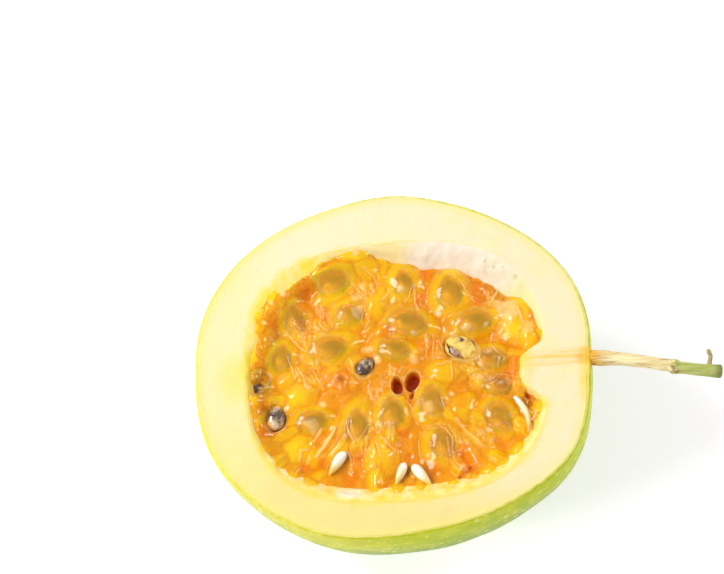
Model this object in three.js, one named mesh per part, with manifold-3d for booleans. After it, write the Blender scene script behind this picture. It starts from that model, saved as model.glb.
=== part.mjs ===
// Half of a passion fruit, cut lengthwise, with its stem. It lies on its dome with the cut face up.
//
// Millimetres. The origin is the middle of the small flat spot that the half rests on, +X runs along
// the fruit towards the stem end, and +Z is the normal of the cut face.

import * as THREE from 'three';
import { mergeVertices } from 'three/addons/utils/BufferGeometryUtils.js';
import Module from 'manifold-3d';

const wasm = await Module();
wasm.setup();

// Driving dimensions, mm.
const fruitLength = 78.4; // blossom end to stem end, at the fruit's middle
const fruitWidth = 69.2; // across the fruit's middle, and its depth too
const cutRise = 4.5; // how far above the fruit's middle the cut runs
const restDepth = 0.9; // how much of the dome the rest spot takes away
const cavityLength = 57.8; // the hollow that the pulp fills, on the cut face
const cavityWidth = 51.6;
const cavityDepth = 28.5;
const cavityShift = { x: 0.6, y: -1.1 }; // the hollow lies a little off the middle
const skinSquareness = 2.15; // 2 is an ellipse, more is fuller at its four corners
const cavitySquareness = 2.7;
const lipDepth = 6; // how far down the lip of pith beside the stem reaches
const pulpSink = 2.4; // cut face down to the pulp between the sacs
const sacSink = 3.3; // cut face down to the base of a sac
const sacHeight = 2.5; // base of a sac to its top
const seedThickness = 2.1;
const ovuleThickness = 1.9;
const bareSeedSink = 2.8; // cut face down to the middle of a bare seed
const ovuleSink = 2.5; // cut face down to the middle of an ovule
const pitDepth = 6; // the two dark pits in the middle of the pulp
const stemSink = 1.6; // cut face down to the middle of the stem
const gap = 0.3; // between pieces that touch
const cutMargin = 1; // how far a cutting solid stands out of the face it cuts

const halfDepth = fruitWidth / 2;
const faceHeight = cutRise + halfDepth - restDepth;

// Swells and dips of the skin's outline: direction in degrees, height in mm, spread in degrees.
const swells = [
  { turn: -4, height: -0.9, spread: 13 },
  { turn: 48, height: -0.75, spread: 20 },
  { turn: 88, height: 0.9, spread: 14 },
  { turn: 179, height: -0.5, spread: 12 },
  { turn: -114, height: 0.5, spread: 14 },
  { turn: -70, height: -0.6, spread: 22 },
  { turn: -33, height: 0.8, spread: 12 },
];
// The belly below the cut is fuller on one side.
const belly = { turn: -80, height: 1.1, spread: 30 };

// The lip of pith beside the stem narrows the hollow: direction, how far in, half its angle.
const lip = { turn: -7, inset: 4.8, spread: 13 };

// Juice sacs: place on the face, direction of the long side in degrees, half sizes in mm, and half
// the length of the seed inside, or 0 where the sac shows none.
const sacs = [
  { x: -11.2, y: 18.4, turn: 17, long: 4.0, wide: 3.1, seed: 3.0 },
  { x: -7.8, y: 11.8, turn: 0, long: 2.9, wide: 2.4, seed: 2.2 },
  { x: 2.9, y: 17.6, turn: 90, long: 3.8, wide: 2.7, seed: 2.4 },
  { x: 11.8, y: 14.8, turn: 88, long: 3.8, wide: 2.9, seed: 2.9 },
  { x: -18.8, y: 11.5, turn: 95, long: 3.8, wide: 2.6, seed: 2.8 },
  { x: -12.2, y: 5.1, turn: 17, long: 4.0, wide: 2.8, seed: 3.0 },
  { x: -21.8, y: 4.0, turn: 75, long: 3.2, wide: 2.4, seed: 2.4 },
  { x: 3.5, y: 9.1, turn: -18, long: 4.1, wide: 2.3, seed: 3.1 },
  { x: 0.5, y: 3.9, turn: -20, long: 3.3, wide: 1.8, seed: 2.4 },
  { x: 16.4, y: 8.4, turn: 5, long: 3.9, wide: 2.3, seed: 2.7 },
  { x: -0.8, y: -8.8, turn: 85, long: 3.2, wide: 2.7, seed: 2.5 },
  { x: 7.0, y: -7.3, turn: 88, long: 3.5, wide: 2.6, seed: 2.8 },
  { x: 19.6, y: -11.7, turn: -65, long: 3.3, wide: 2.4, seed: 2.7 },
  { x: -7.7, y: -10.9, turn: 80, long: 4.2, wide: 2.5, seed: 2.9 },
  { x: -16.1, y: -9.3, turn: 10, long: 3.1, wide: 2.2, seed: 2.3 },
  { x: 8.7, y: -15.8, turn: 100, long: 3.4, wide: 2.9, seed: 2.5 },
  { x: 19.0, y: 0.4, turn: 0, long: 3.0, wide: 2.1, seed: 2.4 },
  { x: 20.0, y: -4.9, turn: -20, long: 2.6, wide: 1.8, seed: 2.1 },
  { x: -10.9, y: -1.4, turn: -20, long: 2.8, wide: 2.0, seed: 0 },
  { x: -2.5, y: 13.5, turn: 68, long: 3.1, wide: 1.8, seed: 0 },
  { x: -18.4, y: -4.1, turn: 30, long: 3.2, wide: 2.1, seed: 0 },
  { x: -19.3, y: -14.8, turn: 45, long: 3.2, wide: 2.2, seed: 0 },
  { x: 10.2, y: -1.4, turn: 0, long: 3.0, wide: 1.7, seed: 0 },
  { x: 12.9, y: -9.3, turn: 60, long: 2.7, wide: 2.1, seed: 0 },
  { x: 15.1, y: -16.4, turn: -50, long: 2.8, wide: 2.0, seed: 0 },
  { x: -3.4, y: -17.2, turn: 80, long: 3.4, wide: 2.3, seed: 0 },
  { x: -4.0, y: 20.8, turn: 0, long: 2.6, wide: 1.8, seed: 0 },
];

// Bare seeds that lie open in the pulp, and unripe ovules at its edge.
const bareSeeds = [
  { x: -25.1, y: -1.1, turn: 15, long: 2.6 },
  { x: -23.2, y: -7.6, turn: 80, long: 2.5 },
  { x: -5.5, y: 0.9, turn: 45, long: 2.0 },
  { x: 13.1, y: 3.5, turn: -35, long: 3.0 },
];
const ovules = [
  { x: -11.9, y: -18.1, turn: 235, long: 2.9 },
  { x: 0.6, y: -21.2, turn: 255, long: 2.2 },
  { x: 4.2, y: -21.4, turn: -45, long: 2.4 },
  { x: 23.8, y: -9.7, turn: -50, long: 2.3 },
];
const pits = [
  { x: 0.5, y: -3.6, turn: 95, long: 1.7, wide: 0.9 },
  { x: 3.5, y: -2.9, turn: 70, long: 1.8, wide: 1.2 },
];

// A sac's side from its base up: share of its half size, and height as a share of its own.
const sacProfile = [
  { share: 0.9, rise: 0 },
  { share: 1, rise: 0.3 },
  { share: 0.86, rise: 0.68 },
  { share: 0.5, rise: 0.92 },
];

const seedShape = { width: 0.66, taper: 0.22, thickness: seedThickness };
const ovuleShape = { width: 0.4, taper: 0.3, thickness: ovuleThickness };

// The stem's line from its socket to its cut tip, with its radius at each point.
const stemLine = [
  { x: 36.2, y: -1.1, z: 0, radius: 1.35 },
  { x: 38.0, y: -1.4, z: 0, radius: 1.45 },
  { x: 40.2, y: -1.7, z: 0, radius: 1.5 },
  { x: 43.6, y: -2.2, z: 0.2, radius: 1.25 },
  { x: 48.6, y: -3.3, z: 0.2, radius: 1.15 },
  { x: 52.8, y: -4.3, z: 0, radius: 1.15 },
  { x: 53.4, y: -4.5, z: 0, radius: 1.4 },
  { x: 54.1, y: -4.7, z: 0, radius: 1.4 },
  { x: 54.8, y: -4.9, z: 0, radius: 1.15 },
  { x: 58.8, y: -5.6, z: -0.3, radius: 1.15 },
  { x: 62.2, y: -6.1, z: -0.5, radius: 1.3 },
];
const stubLine = [
  { x: 60.0, y: -5.6, z: -0.4, radius: 0.5 },
  { x: 60.4, y: -4.2, z: -0.2, radius: 0.45 },
  { x: 60.7, y: -3.1, z: 0.2, radius: 0.4 },
  { x: 60.4, y: -2.4, z: 0.7, radius: 0.45 },
];

const skinSegments = 48;
const domeSteps = 9;
const cavitySteps = 6;
const pieceSegments = 12;
const seedSegments = 8;
const seedRings = 5;
const stemSegments = 10;
const mergeDistance = 1e-4;

const { degToRad, radToDeg } = THREE.MathUtils;

const rindMaterial = new THREE.MeshStandardMaterial({ color: 0x8fb02c, roughness: 0.45, metalness: 0 });
const pulpMaterial = new THREE.MeshStandardMaterial({ color: 0xf2990f, roughness: 0.2, metalness: 0 });
const sacMaterial = new THREE.MeshStandardMaterial({ color: 0xf7b51e, roughness: 0.15, metalness: 0 });
const seedMaterial = new THREE.MeshStandardMaterial({ color: 0x4a3a34, roughness: 0.35, metalness: 0 });
const ovuleMaterial = new THREE.MeshStandardMaterial({ color: 0xfaf3df, roughness: 0.35, metalness: 0 });
const stemMaterial = new THREE.MeshStandardMaterial({ color: 0xb9b27a, roughness: 0.75, metalness: 0 });

// --- solids from three.js geometries ---

// A manifold solid from a closed geometry: shared vertices merged, collapsed triangles left out.
function toSolid(geometry) {
  const bare = geometry.clone();
  bare.deleteAttribute('normal');
  bare.deleteAttribute('uv');
  const merged = mergeVertices(bare, mergeDistance);
  const corners = Array.from(merged.index.array);
  const triangles = [];
  for (let i = 0; i < corners.length; i += 3) {
    const [a, b, c] = corners.slice(i, i + 3);
    if (a !== b && b !== c && c !== a) triangles.push(a, b, c);
  }
  return new wasm.Manifold(new wasm.Mesh({
    numProp: 3,
    vertProperties: Float32Array.from(merged.getAttribute('position').array),
    triVerts: Uint32Array.from(triangles),
  }));
}

function toGeometry(solid) {
  const { vertProperties, triVerts } = solid.getMesh();
  const geometry = new THREE.BufferGeometry();
  geometry.setAttribute('position', new THREE.BufferAttribute(vertProperties, 3));
  geometry.setIndex(new THREE.BufferAttribute(triVerts, 1));
  geometry.computeVertexNormals();
  return geometry;
}

// A closed surface through rings, each with a function that gives its point at a turn (radians).
// The first and the last ring are single points. A LatheGeometry gives the faces.
function ringGeometry(rings, segments) {
  const geometry = new THREE.LatheGeometry(rings.map(() => new THREE.Vector2(1, 0)), segments);
  const position = geometry.getAttribute('position');
  for (let i = 0; i < position.count; i += 1) {
    const step = Math.floor(i / rings.length) % segments;
    position.setXYZ(i, ...rings[i % rings.length]((2 * Math.PI * step) / segments));
  }
  return geometry;
}

// The same geometry lying at a place of the face, turned about +Z, its own z = 0 at the given height.
function placed(geometry, place, height) {
  return geometry.clone().rotateZ(degToRad(place.turn)).translate(place.x, place.y, height);
}

// --- outlines ---

function ovalRadius(turn, length, width, squareness) {
  const along = Math.abs(2 * Math.cos(turn) / length) ** squareness;
  const across = Math.abs(2 * Math.sin(turn) / width) ** squareness;
  return (along + across) ** (-1 / squareness);
}

// How far a direction (radians) is from another (degrees), in units of a spread in degrees.
function turnGap(turn, centre, spread) {
  const difference = THREE.MathUtils.euclideanModulo(radToDeg(turn) - centre + 180, 360) - 180;
  return difference / spread;
}

// A point of the skin, rise above the fruit's middle.
function skinPoint(turn, rise) {
  const swell = swells.reduce(
    (sum, { turn: centre, height, spread }) => sum + height * Math.exp(-(turnGap(turn, centre, spread) ** 2)),
    0,
  );
  const share = Math.sqrt(1 - (rise / halfDepth) ** 2);
  const droop = Math.sin((Math.PI * (cutRise - rise)) / faceHeight);
  const bulge = belly.height * droop * Math.exp(-(turnGap(turn, belly.turn, belly.spread) ** 2));
  const radius = share * (ovalRadius(turn, fruitLength, fruitWidth, skinSquareness) + swell) + bulge;
  return [radius * Math.cos(turn), radius * Math.sin(turn)];
}

// A point of the hollow's wall at a depth below the cut face, pulled in by an inset.
function cavityPoint(turn, depth, inset) {
  const share = Math.sqrt(1 - (depth / cavityDepth) ** 2);
  const lipShare = Math.max(0, 1 - depth / lipDepth) * Math.exp(-(turnGap(turn, lip.turn, lip.spread) ** 6));
  const oval = share * ovalRadius(turn, cavityLength, cavityWidth, cavitySquareness);
  const radius = Math.max(0, oval - inset - lip.inset * lipShare);
  return [cavityShift.x + radius * Math.cos(turn), cavityShift.y + radius * Math.sin(turn)];
}

// --- the hollow, which the rind loses and the pulp fills ---

// Depths of the wall's rings from the level of the pulp down, closer together towards the bottom.
const wallDepths = Array.from({ length: cavitySteps }, (_, i) => (
  pulpSink + (cavityDepth - pulpSink) * Math.sin((Math.PI / 2) * (i / cavitySteps))
));

// The hollow below the first of the depths as a solid, drawn in by an inset and lifted by it at the
// bottom. A depth above the cut face repeats the outline of the face.
function hollowSolid(depths, inset) {
  const lift = (depth) => (inset * depth) / cavityDepth;
  const axisPoint = (depth) => () => [cavityShift.x, cavityShift.y, faceHeight - depth + lift(depth)];
  const wall = depths.map((depth) => (turn) => [
    ...cavityPoint(turn, Math.max(0, depth), inset),
    faceHeight - depth + lift(depth),
  ]);
  const rings = [axisPoint(cavityDepth), ...wall.reverse(), axisPoint(depths[0])];
  return toSolid(ringGeometry(rings, skinSegments));
}

// --- rind: skin and pith in one shell ---

function rindSolid() {
  const rings = [() => [0, 0, 0]];
  const restTurn = Math.asin((restDepth - halfDepth) / halfDepth);
  const cutTurn = Math.asin(cutRise / halfDepth);
  for (let i = 0; i <= domeSteps; i += 1) {
    const rise = halfDepth * Math.sin(restTurn + (cutTurn - restTurn) * (i / domeSteps));
    rings.push((turn) => [...skinPoint(turn, rise), faceHeight - cutRise + rise]);
  }
  rings.push(() => [0, 0, faceHeight]);
  const hollow = hollowSolid([-cutMargin, 0, ...wallDepths], 0);
  return toSolid(ringGeometry(rings, skinSegments)).subtract(hollow).subtract(socketSolid());
}

// --- pieces of the pulp ---

// A sac: a low dome on a flat base, bulging over its edge. Its own z = 0 is the base.
function sacGeometry(sac, grow) {
  const rings = [() => [0, 0, -grow]];
  sacProfile.forEach(({ share, rise }) => {
    const height = rise === 0 ? -grow : rise * sacHeight + grow;
    rings.push((turn) => [
      (share * sac.long + grow) * Math.cos(turn),
      (share * sac.wide + grow) * Math.sin(turn),
      height,
    ]);
  });
  rings.push(() => [0, 0, sacHeight + grow]);
  return ringGeometry(rings, pieceSegments);
}

// A flat seed or ovule, pointed at its +X end. Its own z = 0 is its middle.
function seedGeometry(long, shape, grow) {
  const geometry = new THREE.SphereGeometry(1, seedSegments, seedRings).rotateX(Math.PI / 2);
  const position = geometry.getAttribute('position');
  for (let i = 0; i < position.count; i += 1) {
    const along = position.getX(i);
    position.setXYZ(
      i,
      along * (long + grow),
      position.getY(i) * (long * shape.width * (1 - shape.taper * along) + grow),
      position.getZ(i) * (shape.thickness / 2 + grow),
    );
  }
  return geometry;
}

// A pit that narrows to its bottom and is open upwards. Its own z = 0 is its mouth.
function pitGeometry(pit) {
  const floorShare = 0.6;
  const ring = (share, height) => (turn) => [
    share * pit.long * Math.cos(turn),
    share * pit.wide * Math.sin(turn),
    height,
  ];
  const rings = [ring(0, -pitDepth), ring(floorShare, -pitDepth), ring(1, cutMargin), ring(0, cutMargin)];
  return ringGeometry(rings, pieceSegments);
}

const sacBase = faceHeight - sacSink;
const sacSeedHeight = sacBase - gap / 2;

function sacSolid(sac) {
  const body = toSolid(placed(sacGeometry(sac, 0), sac, sacBase));
  if (sac.seed === 0) return body;
  return body.subtract(toSolid(placed(seedGeometry(sac.seed, seedShape, gap), sac, sacSeedHeight)));
}

// The bed of pulp: it fills the hollow up to its own level, less a pocket for each piece in it.
function pulpSolid() {
  const pockets = [
    ...sacs.map((sac) => placed(sacGeometry(sac, gap), sac, sacBase)),
    ...sacs.filter((sac) => sac.seed > 0)
      .map((sac) => placed(seedGeometry(sac.seed, seedShape, gap), sac, sacSeedHeight)),
    ...bareSeeds.map((seed) => (
      placed(seedGeometry(seed.long, seedShape, gap), seed, faceHeight - bareSeedSink)
    )),
    ...ovules.map((ovule) => (
      placed(seedGeometry(ovule.long, ovuleShape, gap), ovule, faceHeight - ovuleSink)
    )),
    ...pits.map((pit) => placed(pitGeometry(pit), pit, faceHeight - pulpSink)),
  ];
  return pockets.reduce((solid, pocket) => solid.subtract(toSolid(pocket)), hollowSolid(wallDepths, gap));
}

// --- stem ---

// A round rod along a line of points, each with its own radius, closed at both ends.
function rodGeometry(line, grow) {
  const points = line.map(({ x, y, z }) => new THREE.Vector3(x, y, faceHeight - stemSink + z));
  const ringAt = (point, radius, along) => {
    const side = new THREE.Vector3(-along.y, along.x, 0).normalize();
    const over = new THREE.Vector3().crossVectors(along, side);
    return (turn) => point.clone()
      .addScaledVector(side, radius * Math.cos(turn))
      .addScaledVector(over, radius * Math.sin(turn))
      .toArray();
  };
  const rings = points.map((point, i) => {
    const before = points[Math.max(0, i - 1)];
    const after = points[Math.min(points.length - 1, i + 1)];
    return ringAt(point, line[i].radius + grow, after.clone().sub(before).normalize());
  });
  const end = (point) => () => point.toArray();
  return ringGeometry([end(points[0]), ...rings, end(points[points.length - 1])], stemSegments);
}

// The socket that the stem's base sits in: the base's own rod, a gap wider and longer.
function socketSolid() {
  const [first, second, third] = stemLine;
  const start = { ...first, x: first.x - gap };
  return toSolid(rodGeometry([start, second, third], gap));
}

// --- the assembled half ---

const half = new THREE.Group();

function addPiece(name, geometry, material) {
  const mesh = new THREE.Mesh(geometry, material.clone());
  mesh.name = name;
  half.add(mesh);
  return mesh;
}

// A seed or an ovule is one shape, placed by its mesh's position and turn.
function addSeed(name, place, long, shape, height, material) {
  const mesh = addPiece(name, toGeometry(toSolid(seedGeometry(long, shape, 0))), material);
  mesh.position.set(place.x, place.y, height);
  mesh.rotation.z = degToRad(place.turn);
}

const numbered = (word, i) => `${word}_${String(i + 1).padStart(2, '0')}`;

addPiece('rind', toGeometry(rindSolid()), rindMaterial);
addPiece('pulp', toGeometry(pulpSolid()), pulpMaterial);
const stem = toSolid(rodGeometry(stemLine, 0)).add(toSolid(rodGeometry(stubLine, 0)));
addPiece('stem', toGeometry(stem), stemMaterial);

sacs.forEach((sac, i) => addPiece(numbered('juice_sac', i), toGeometry(sacSolid(sac)), sacMaterial));

const seedPlaces = [
  ...sacs.filter((sac) => sac.seed > 0).map((sac) => ({ ...sac, long: sac.seed, height: sacSeedHeight })),
  ...bareSeeds.map((seed) => ({ ...seed, height: faceHeight - bareSeedSink })),
];
seedPlaces.forEach((seed, i) => {
  addSeed(numbered('seed', i), seed, seed.long, seedShape, seed.height, seedMaterial);
});
ovules.forEach((ovule, i) => {
  addSeed(numbered('ovule', i), ovule, ovule.long, ovuleShape, faceHeight - ovuleSink, ovuleMaterial);
});

export default half;
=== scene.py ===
import math
from types import SimpleNamespace

import bmesh
import bpy
import numpy as np
from mathutils import Matrix, Vector, noise


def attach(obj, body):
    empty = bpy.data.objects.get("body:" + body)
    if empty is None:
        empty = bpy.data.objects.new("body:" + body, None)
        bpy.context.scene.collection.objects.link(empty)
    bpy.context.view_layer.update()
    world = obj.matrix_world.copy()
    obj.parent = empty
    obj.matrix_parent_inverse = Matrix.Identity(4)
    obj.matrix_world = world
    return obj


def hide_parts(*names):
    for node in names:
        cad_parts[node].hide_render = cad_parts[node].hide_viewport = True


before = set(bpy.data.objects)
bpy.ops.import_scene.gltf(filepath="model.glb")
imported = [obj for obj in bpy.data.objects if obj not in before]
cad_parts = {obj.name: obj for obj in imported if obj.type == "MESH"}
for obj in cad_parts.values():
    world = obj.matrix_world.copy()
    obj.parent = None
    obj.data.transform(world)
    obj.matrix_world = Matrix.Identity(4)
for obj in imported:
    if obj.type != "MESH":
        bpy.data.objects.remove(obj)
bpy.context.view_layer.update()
cadNodes = list(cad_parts)
mm = 0.001
faceHeight = 38.2  # of the cut face over the floor; lengths are in millimetres unless a note says otherwise
print("frame loaded:", len(cadNodes), "nodes")


def deselectAll():
    if bpy.context.object and bpy.context.object.mode != "OBJECT":
        bpy.ops.object.mode_set(mode="OBJECT")
    bpy.ops.object.select_all(action="DESELECT")


def editAll(piece):
    # opens one piece in edit mode with all of it selected
    deselectAll()
    piece.select_set(True)
    bpy.context.view_layer.objects.active = piece
    bpy.ops.object.mode_set(mode="EDIT")
    bpy.ops.mesh.select_all(action="SELECT")


def pointsOf(piece):
    points = np.empty(len(piece.data.vertices) * 3)
    piece.data.vertices.foreach_get("co", points)
    return points.reshape(-1, 3) / mm


def movePoints(piece, points):
    piece.data.vertices.foreach_set("co", (points * mm).ravel())
    piece.data.update()


def storeMask(piece, name, values):
    # a value for every point, which a material reads
    masks = piece.data.attributes
    mask = masks.get(name) or masks.new(name, "FLOAT", "POINT")
    mask.data.foreach_set("value", np.asarray(values, dtype=np.float32))


def closeUp(piece, smoothAngle=60):
    # doubles merged, faces turned outwards, the piece shaded smooth with its sharp edges kept
    editAll(piece)
    bpy.ops.mesh.remove_doubles(threshold=2e-6)
    bpy.ops.mesh.normals_make_consistent(inside=False)
    bpy.ops.object.mode_set(mode="OBJECT")
    bpy.ops.object.shade_smooth_by_angle(angle=math.radians(smoothAngle))


def growRings(name, segments, rings):
    # a circle extruded once for each ring, each ring pulled to its place; the end rings close to a point
    deselectAll()
    bpy.ops.mesh.primitive_circle_add(vertices=segments, radius=1)
    piece = bpy.context.object
    piece.name = name
    bpy.ops.object.mode_set(mode="EDIT")
    bpy.ops.mesh.select_all(action="SELECT")
    ring = list(range(segments))
    rows = []
    for step, places in enumerate(rings):
        if step:
            bpy.ops.mesh.extrude_region_move()
        mesh = bmesh.from_edit_mesh(piece.data)
        mesh.verts.ensure_lookup_table()
        if step:
            first = len(mesh.verts) - segments
            ring = [next(e.other_vert(mesh.verts[i]).index for e in mesh.verts[i].link_edges
                         if e.other_vert(mesh.verts[i]).index >= first) for i in ring]
        for i, place in zip(ring, places):
            mesh.verts[i].co = Vector(place) * mm
        rows.append(list(ring))
    bmesh.update_edit_mesh(piece.data)
    bpy.ops.object.mode_set(mode="OBJECT")
    return piece, np.array(rows)


def noiseAt(points, size, seed, octaves=2):
    # smooth noise, about -1 to 1, with features of the given size
    shift = Vector((seed * 13.7, seed * -7.3, seed * 3.1))
    return np.array([noise.fractal(Vector(p) / size + shift, 1.0, 2.0, octaves) for p in points])


def smoothStep(low, high, value):
    share = np.clip((value - low) / (high - low), 0, 1)
    return share * share * (3 - 2 * share)


def bell(value, middle, spread):
    # 1 in the middle, fading to 0 on both sides
    return np.exp(-((value - middle) / spread) ** 2)


def smoothMax(a, b, soft):
    blend = np.clip(0.5 + 0.5 * (a - b) / soft, 0, 1)
    return b + (a - b) * blend + soft * blend * (1 - blend)


def colour(tint):
    # from 0 to 255 as a screen shows it, to the linear values that a shader takes
    shares = [c / 255 for c in tint]
    return (*[c / 12.92 if c <= 0.04045 else ((c + 0.055) / 1.055) ** 2.4 for c in shares], 1.0)


def plugIn(node, values):
    # each socket gets a link, a plain value, or a colour given from 0 to 255
    for key, value in values.items():
        socket = node.inputs[key]
        if isinstance(value, bpy.types.NodeSocket):
            tree.links.new(value, socket)
        else:
            socket.default_value = colour(value) if socket.type == "RGBA" else value


def addNode(kind, inputs=None, **settings):
    # adds to the newest material or group, as all the helpers below do
    node = tree.nodes.new(kind)
    for key, value in settings.items():
        setattr(node, key, value)
    plugIn(node, inputs or {})
    return node


def maths(operation, *values, clamp=False):
    return addNode("ShaderNodeMath", dict(enumerate(values)), operation=operation, use_clamp=clamp).outputs[0]


def times(a, b):
    return maths("MULTIPLY", a, b)


def plus(a, b, clamp=False):
    return maths("ADD", a, b, clamp=clamp)


def scaled(value, scale, offset):
    return maths("MULTIPLY_ADD", value, scale, offset)


def rampMask(value, low, high):
    # 0 at low and 1 at high, whichever is the greater
    ramp = addNode("ShaderNodeMapRange", {0: value, 1: low, 2: high}, interpolation_type="SMOOTHSTEP")
    return ramp.outputs[0]


def mixColours(factor, a, b):
    return addNode("ShaderNodeMix", {0: factor, 6: a, 7: b}, data_type="RGBA").outputs[2]


def layer(base, mask, tint, share=1):
    # a tint laid over a colour
    return mixColours(mask if share == 1 else times(mask, share), base, tint)


def attributeValue(name):
    return addNode("ShaderNodeAttribute", attribute_name=name).outputs["Fac"]


def objectPlace():
    return addNode("ShaderNodeTexCoord").outputs["Object"]


def bumpFrom(height, strength, distance, invert=False):
    # the distance is in metres
    return addNode("ShaderNodeBump", {"Strength": strength, "Distance": distance, "Height": height},
                   invert=invert).outputs[0]


def newMaterial(name):
    global tree, shader
    material = bpy.data.materials.new(name)
    material.use_nodes = True
    tree = material.node_tree
    shader = tree.nodes["Principled BSDF"]
    return material


def newGroup(name, inputs):
    # an effect that several materials use: named inputs with their usual values, and one mask
    global tree
    tree = bpy.data.node_groups.new(name, "ShaderNodeTree")
    for label, value in inputs.items():
        kind = "NodeSocketVector" if isinstance(value, tuple) else "NodeSocketFloat"
        tree.interface.new_socket(label, in_out="INPUT", socket_type=kind).default_value = value
    tree.interface.new_socket("Mask", in_out="OUTPUT", socket_type="NodeSocketFloat")
    return tree, tree.nodes.new("NodeGroupInput").outputs


def closeGroup(mask):
    plugIn(tree.nodes.new("NodeGroupOutput"), {"Mask": mask})


def vectorMaths(operation, *values):
    return addNode("ShaderNodeVectorMath", dict(enumerate(values)), operation=operation).outputs


# cloudy patches of any size
mottle, given = newGroup("mottle", {
    "Size": 0.004, "Stretch": (1, 1, 1), "Low": 0.35, "High": 0.65, "Detail": 3})
clouds = addNode("ShaderNodeTexNoise", {
    "Vector": vectorMaths("MULTIPLY", objectPlace(), given["Stretch"])[0],
    "Scale": maths("DIVIDE", 1.0, given["Size"]), "Detail": given["Detail"]})
closeGroup(rampMask(clouds.outputs["Fac"], given["Low"], given["High"]))

# a soft spot at a place
softSpot, given = newGroup("softSpot", {
    "Place": (0, 0, 0), "Stretch": (1, 1, 1), "Inner": 0.001, "Outer": 0.003})
away = vectorMaths("SUBTRACT", objectPlace(), given["Place"])[0]
away = vectorMaths("LENGTH", vectorMaths("MULTIPLY", away, given["Stretch"])[0])["Value"]
closeGroup(rampMask(away, given["Outer"], given["Inner"]))

# dots of uneven size scattered over the surface
dots, given = newGroup("dots", {"Spacing": 0.002, "Size": 0.3, "Softness": 0.1, "Share": 0.8})
cells = addNode("ShaderNodeTexVoronoi", {
    "Vector": objectPlace(), "Scale": maths("DIVIDE", 1.0, given["Spacing"]), "Randomness": 0.9})
chances = addNode("ShaderNodeSeparateColor", {0: cells.outputs["Color"]}).outputs
reach = times(given["Size"], scaled(chances[0], 0.8, 0.4))
spot = rampMask(cells.outputs["Distance"], reach, maths("SUBTRACT", reach, given["Softness"]))
closeGroup(times(spot, maths("LESS_THAN", chances[1], given["Share"])))


def groupMask(group, values):
    return addNode("ShaderNodeGroup", values, node_tree=group).outputs["Mask"]


def cloudMask(size, low=0.35, high=0.65, stretch=(1, 1, 1), detail=3):
    return groupMask(mottle, {
        "Size": size * mm, "Stretch": stretch, "Low": low, "High": high, "Detail": detail})


def spotMask(place, stretch, inner, outer):
    return groupMask(softSpot, {"Place": [p * mm for p in place], "Stretch": stretch, "Inner": inner * mm,
                                "Outer": outer * mm})


def dotMask(spacing, size, softness, share):
    return groupMask(dots, {"Spacing": spacing * mm, "Size": size, "Softness": softness, "Share": share})


print("node groups ready")

studio = {
    "cameraFromFace": (35.49, -157.66, 455.91), "tilt": 21.4, "towards": -76.9, "roll": 17.1, "lens": 125,
    "worldStrength": 0.4, "floorGlow": 0.39, "lampsAimAt": (0, 0, 30),
}
# softboxes: direction round the fruit, height, distance, size, power in watts
softboxes = [
    {"turn": 152, "rise": 48, "away": 620, "size": (220, 170), "power": 2.0},
    {"turn": -155, "rise": 38, "away": 600, "size": (150, 240), "power": 1.5},
    {"turn": 20, "rise": 30, "away": 650, "size": (110, 300), "power": 1.3},
]


def aimedCamera():
    tilt, towards, roll = (math.radians(studio[k]) for k in ("tilt", "towards", "roll"))
    across, lean = math.sin(tilt), math.cos(tilt)
    back = Vector((across * math.cos(towards), across * math.sin(towards), lean))
    level = Vector((-math.cos(towards) * lean, -math.sin(towards) * lean, across))
    side = level.cross(back)
    right = math.cos(roll) * side - math.sin(roll) * level
    up = math.sin(roll) * side + math.cos(roll) * level
    place = (Vector(studio["cameraFromFace"]) + Vector((0, 0, faceHeight))) * mm
    return Matrix.Translation(place) @ Matrix((right, up, back)).transposed().to_4x4()


scene = bpy.context.scene
scene.view_settings.view_transform = "Standard"
scene.view_settings.look = "None"
deselectAll()
bpy.ops.object.camera_add()
camera = bpy.context.object
camera.name = "camera"
camera.data.lens = studio["lens"]
camera.data.sensor_width = 36
camera.data.clip_start, camera.data.clip_end = 0.01, 20
camera.matrix_world = aimedCamera()
scene.camera = camera

deselectAll()
bpy.ops.mesh.primitive_plane_add(size=6)
floor = bpy.context.object
floor.name = "floor"
floorMaterial = newMaterial("paleFloor")
plugIn(shader, {
    "Base Color": mixColours(cloudMask(300), (249, 244, 252), (252, 248, 254)), "Roughness": 0.5,
    "Specular IOR Level": 0.2, "Emission Color": (255, 255, 255), "Emission Strength": studio["floorGlow"]})
floor.data.materials.append(floorMaterial)

scene.world = bpy.data.worlds.new("studioWorld")
scene.world.use_nodes = True
background = scene.world.node_tree.nodes["Background"]
plugIn(background, {"Color": (255, 255, 255), "Strength": studio["worldStrength"]})
aim = Vector(studio["lampsAimAt"]) * mm
for number, box in enumerate(softboxes, 1):
    turn, rise = math.radians(box["turn"]), math.radians(box["rise"])
    direction = Vector((math.cos(turn) * math.cos(rise), math.sin(turn) * math.cos(rise), math.sin(rise)))
    deselectAll()
    bpy.ops.object.light_add(type="AREA", location=aim + direction * box["away"] * mm)
    lamp = bpy.context.object
    lamp.name = f"softbox_{number}"
    lamp.rotation_euler = direction.to_track_quat("Z", "Y").to_euler()
    lamp.data.shape = "RECTANGLE"
    lamp.data.size, lamp.data.size_y = (s * mm for s in box["size"])
    lamp.data.energy = box["power"]
print("studio ready")

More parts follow.
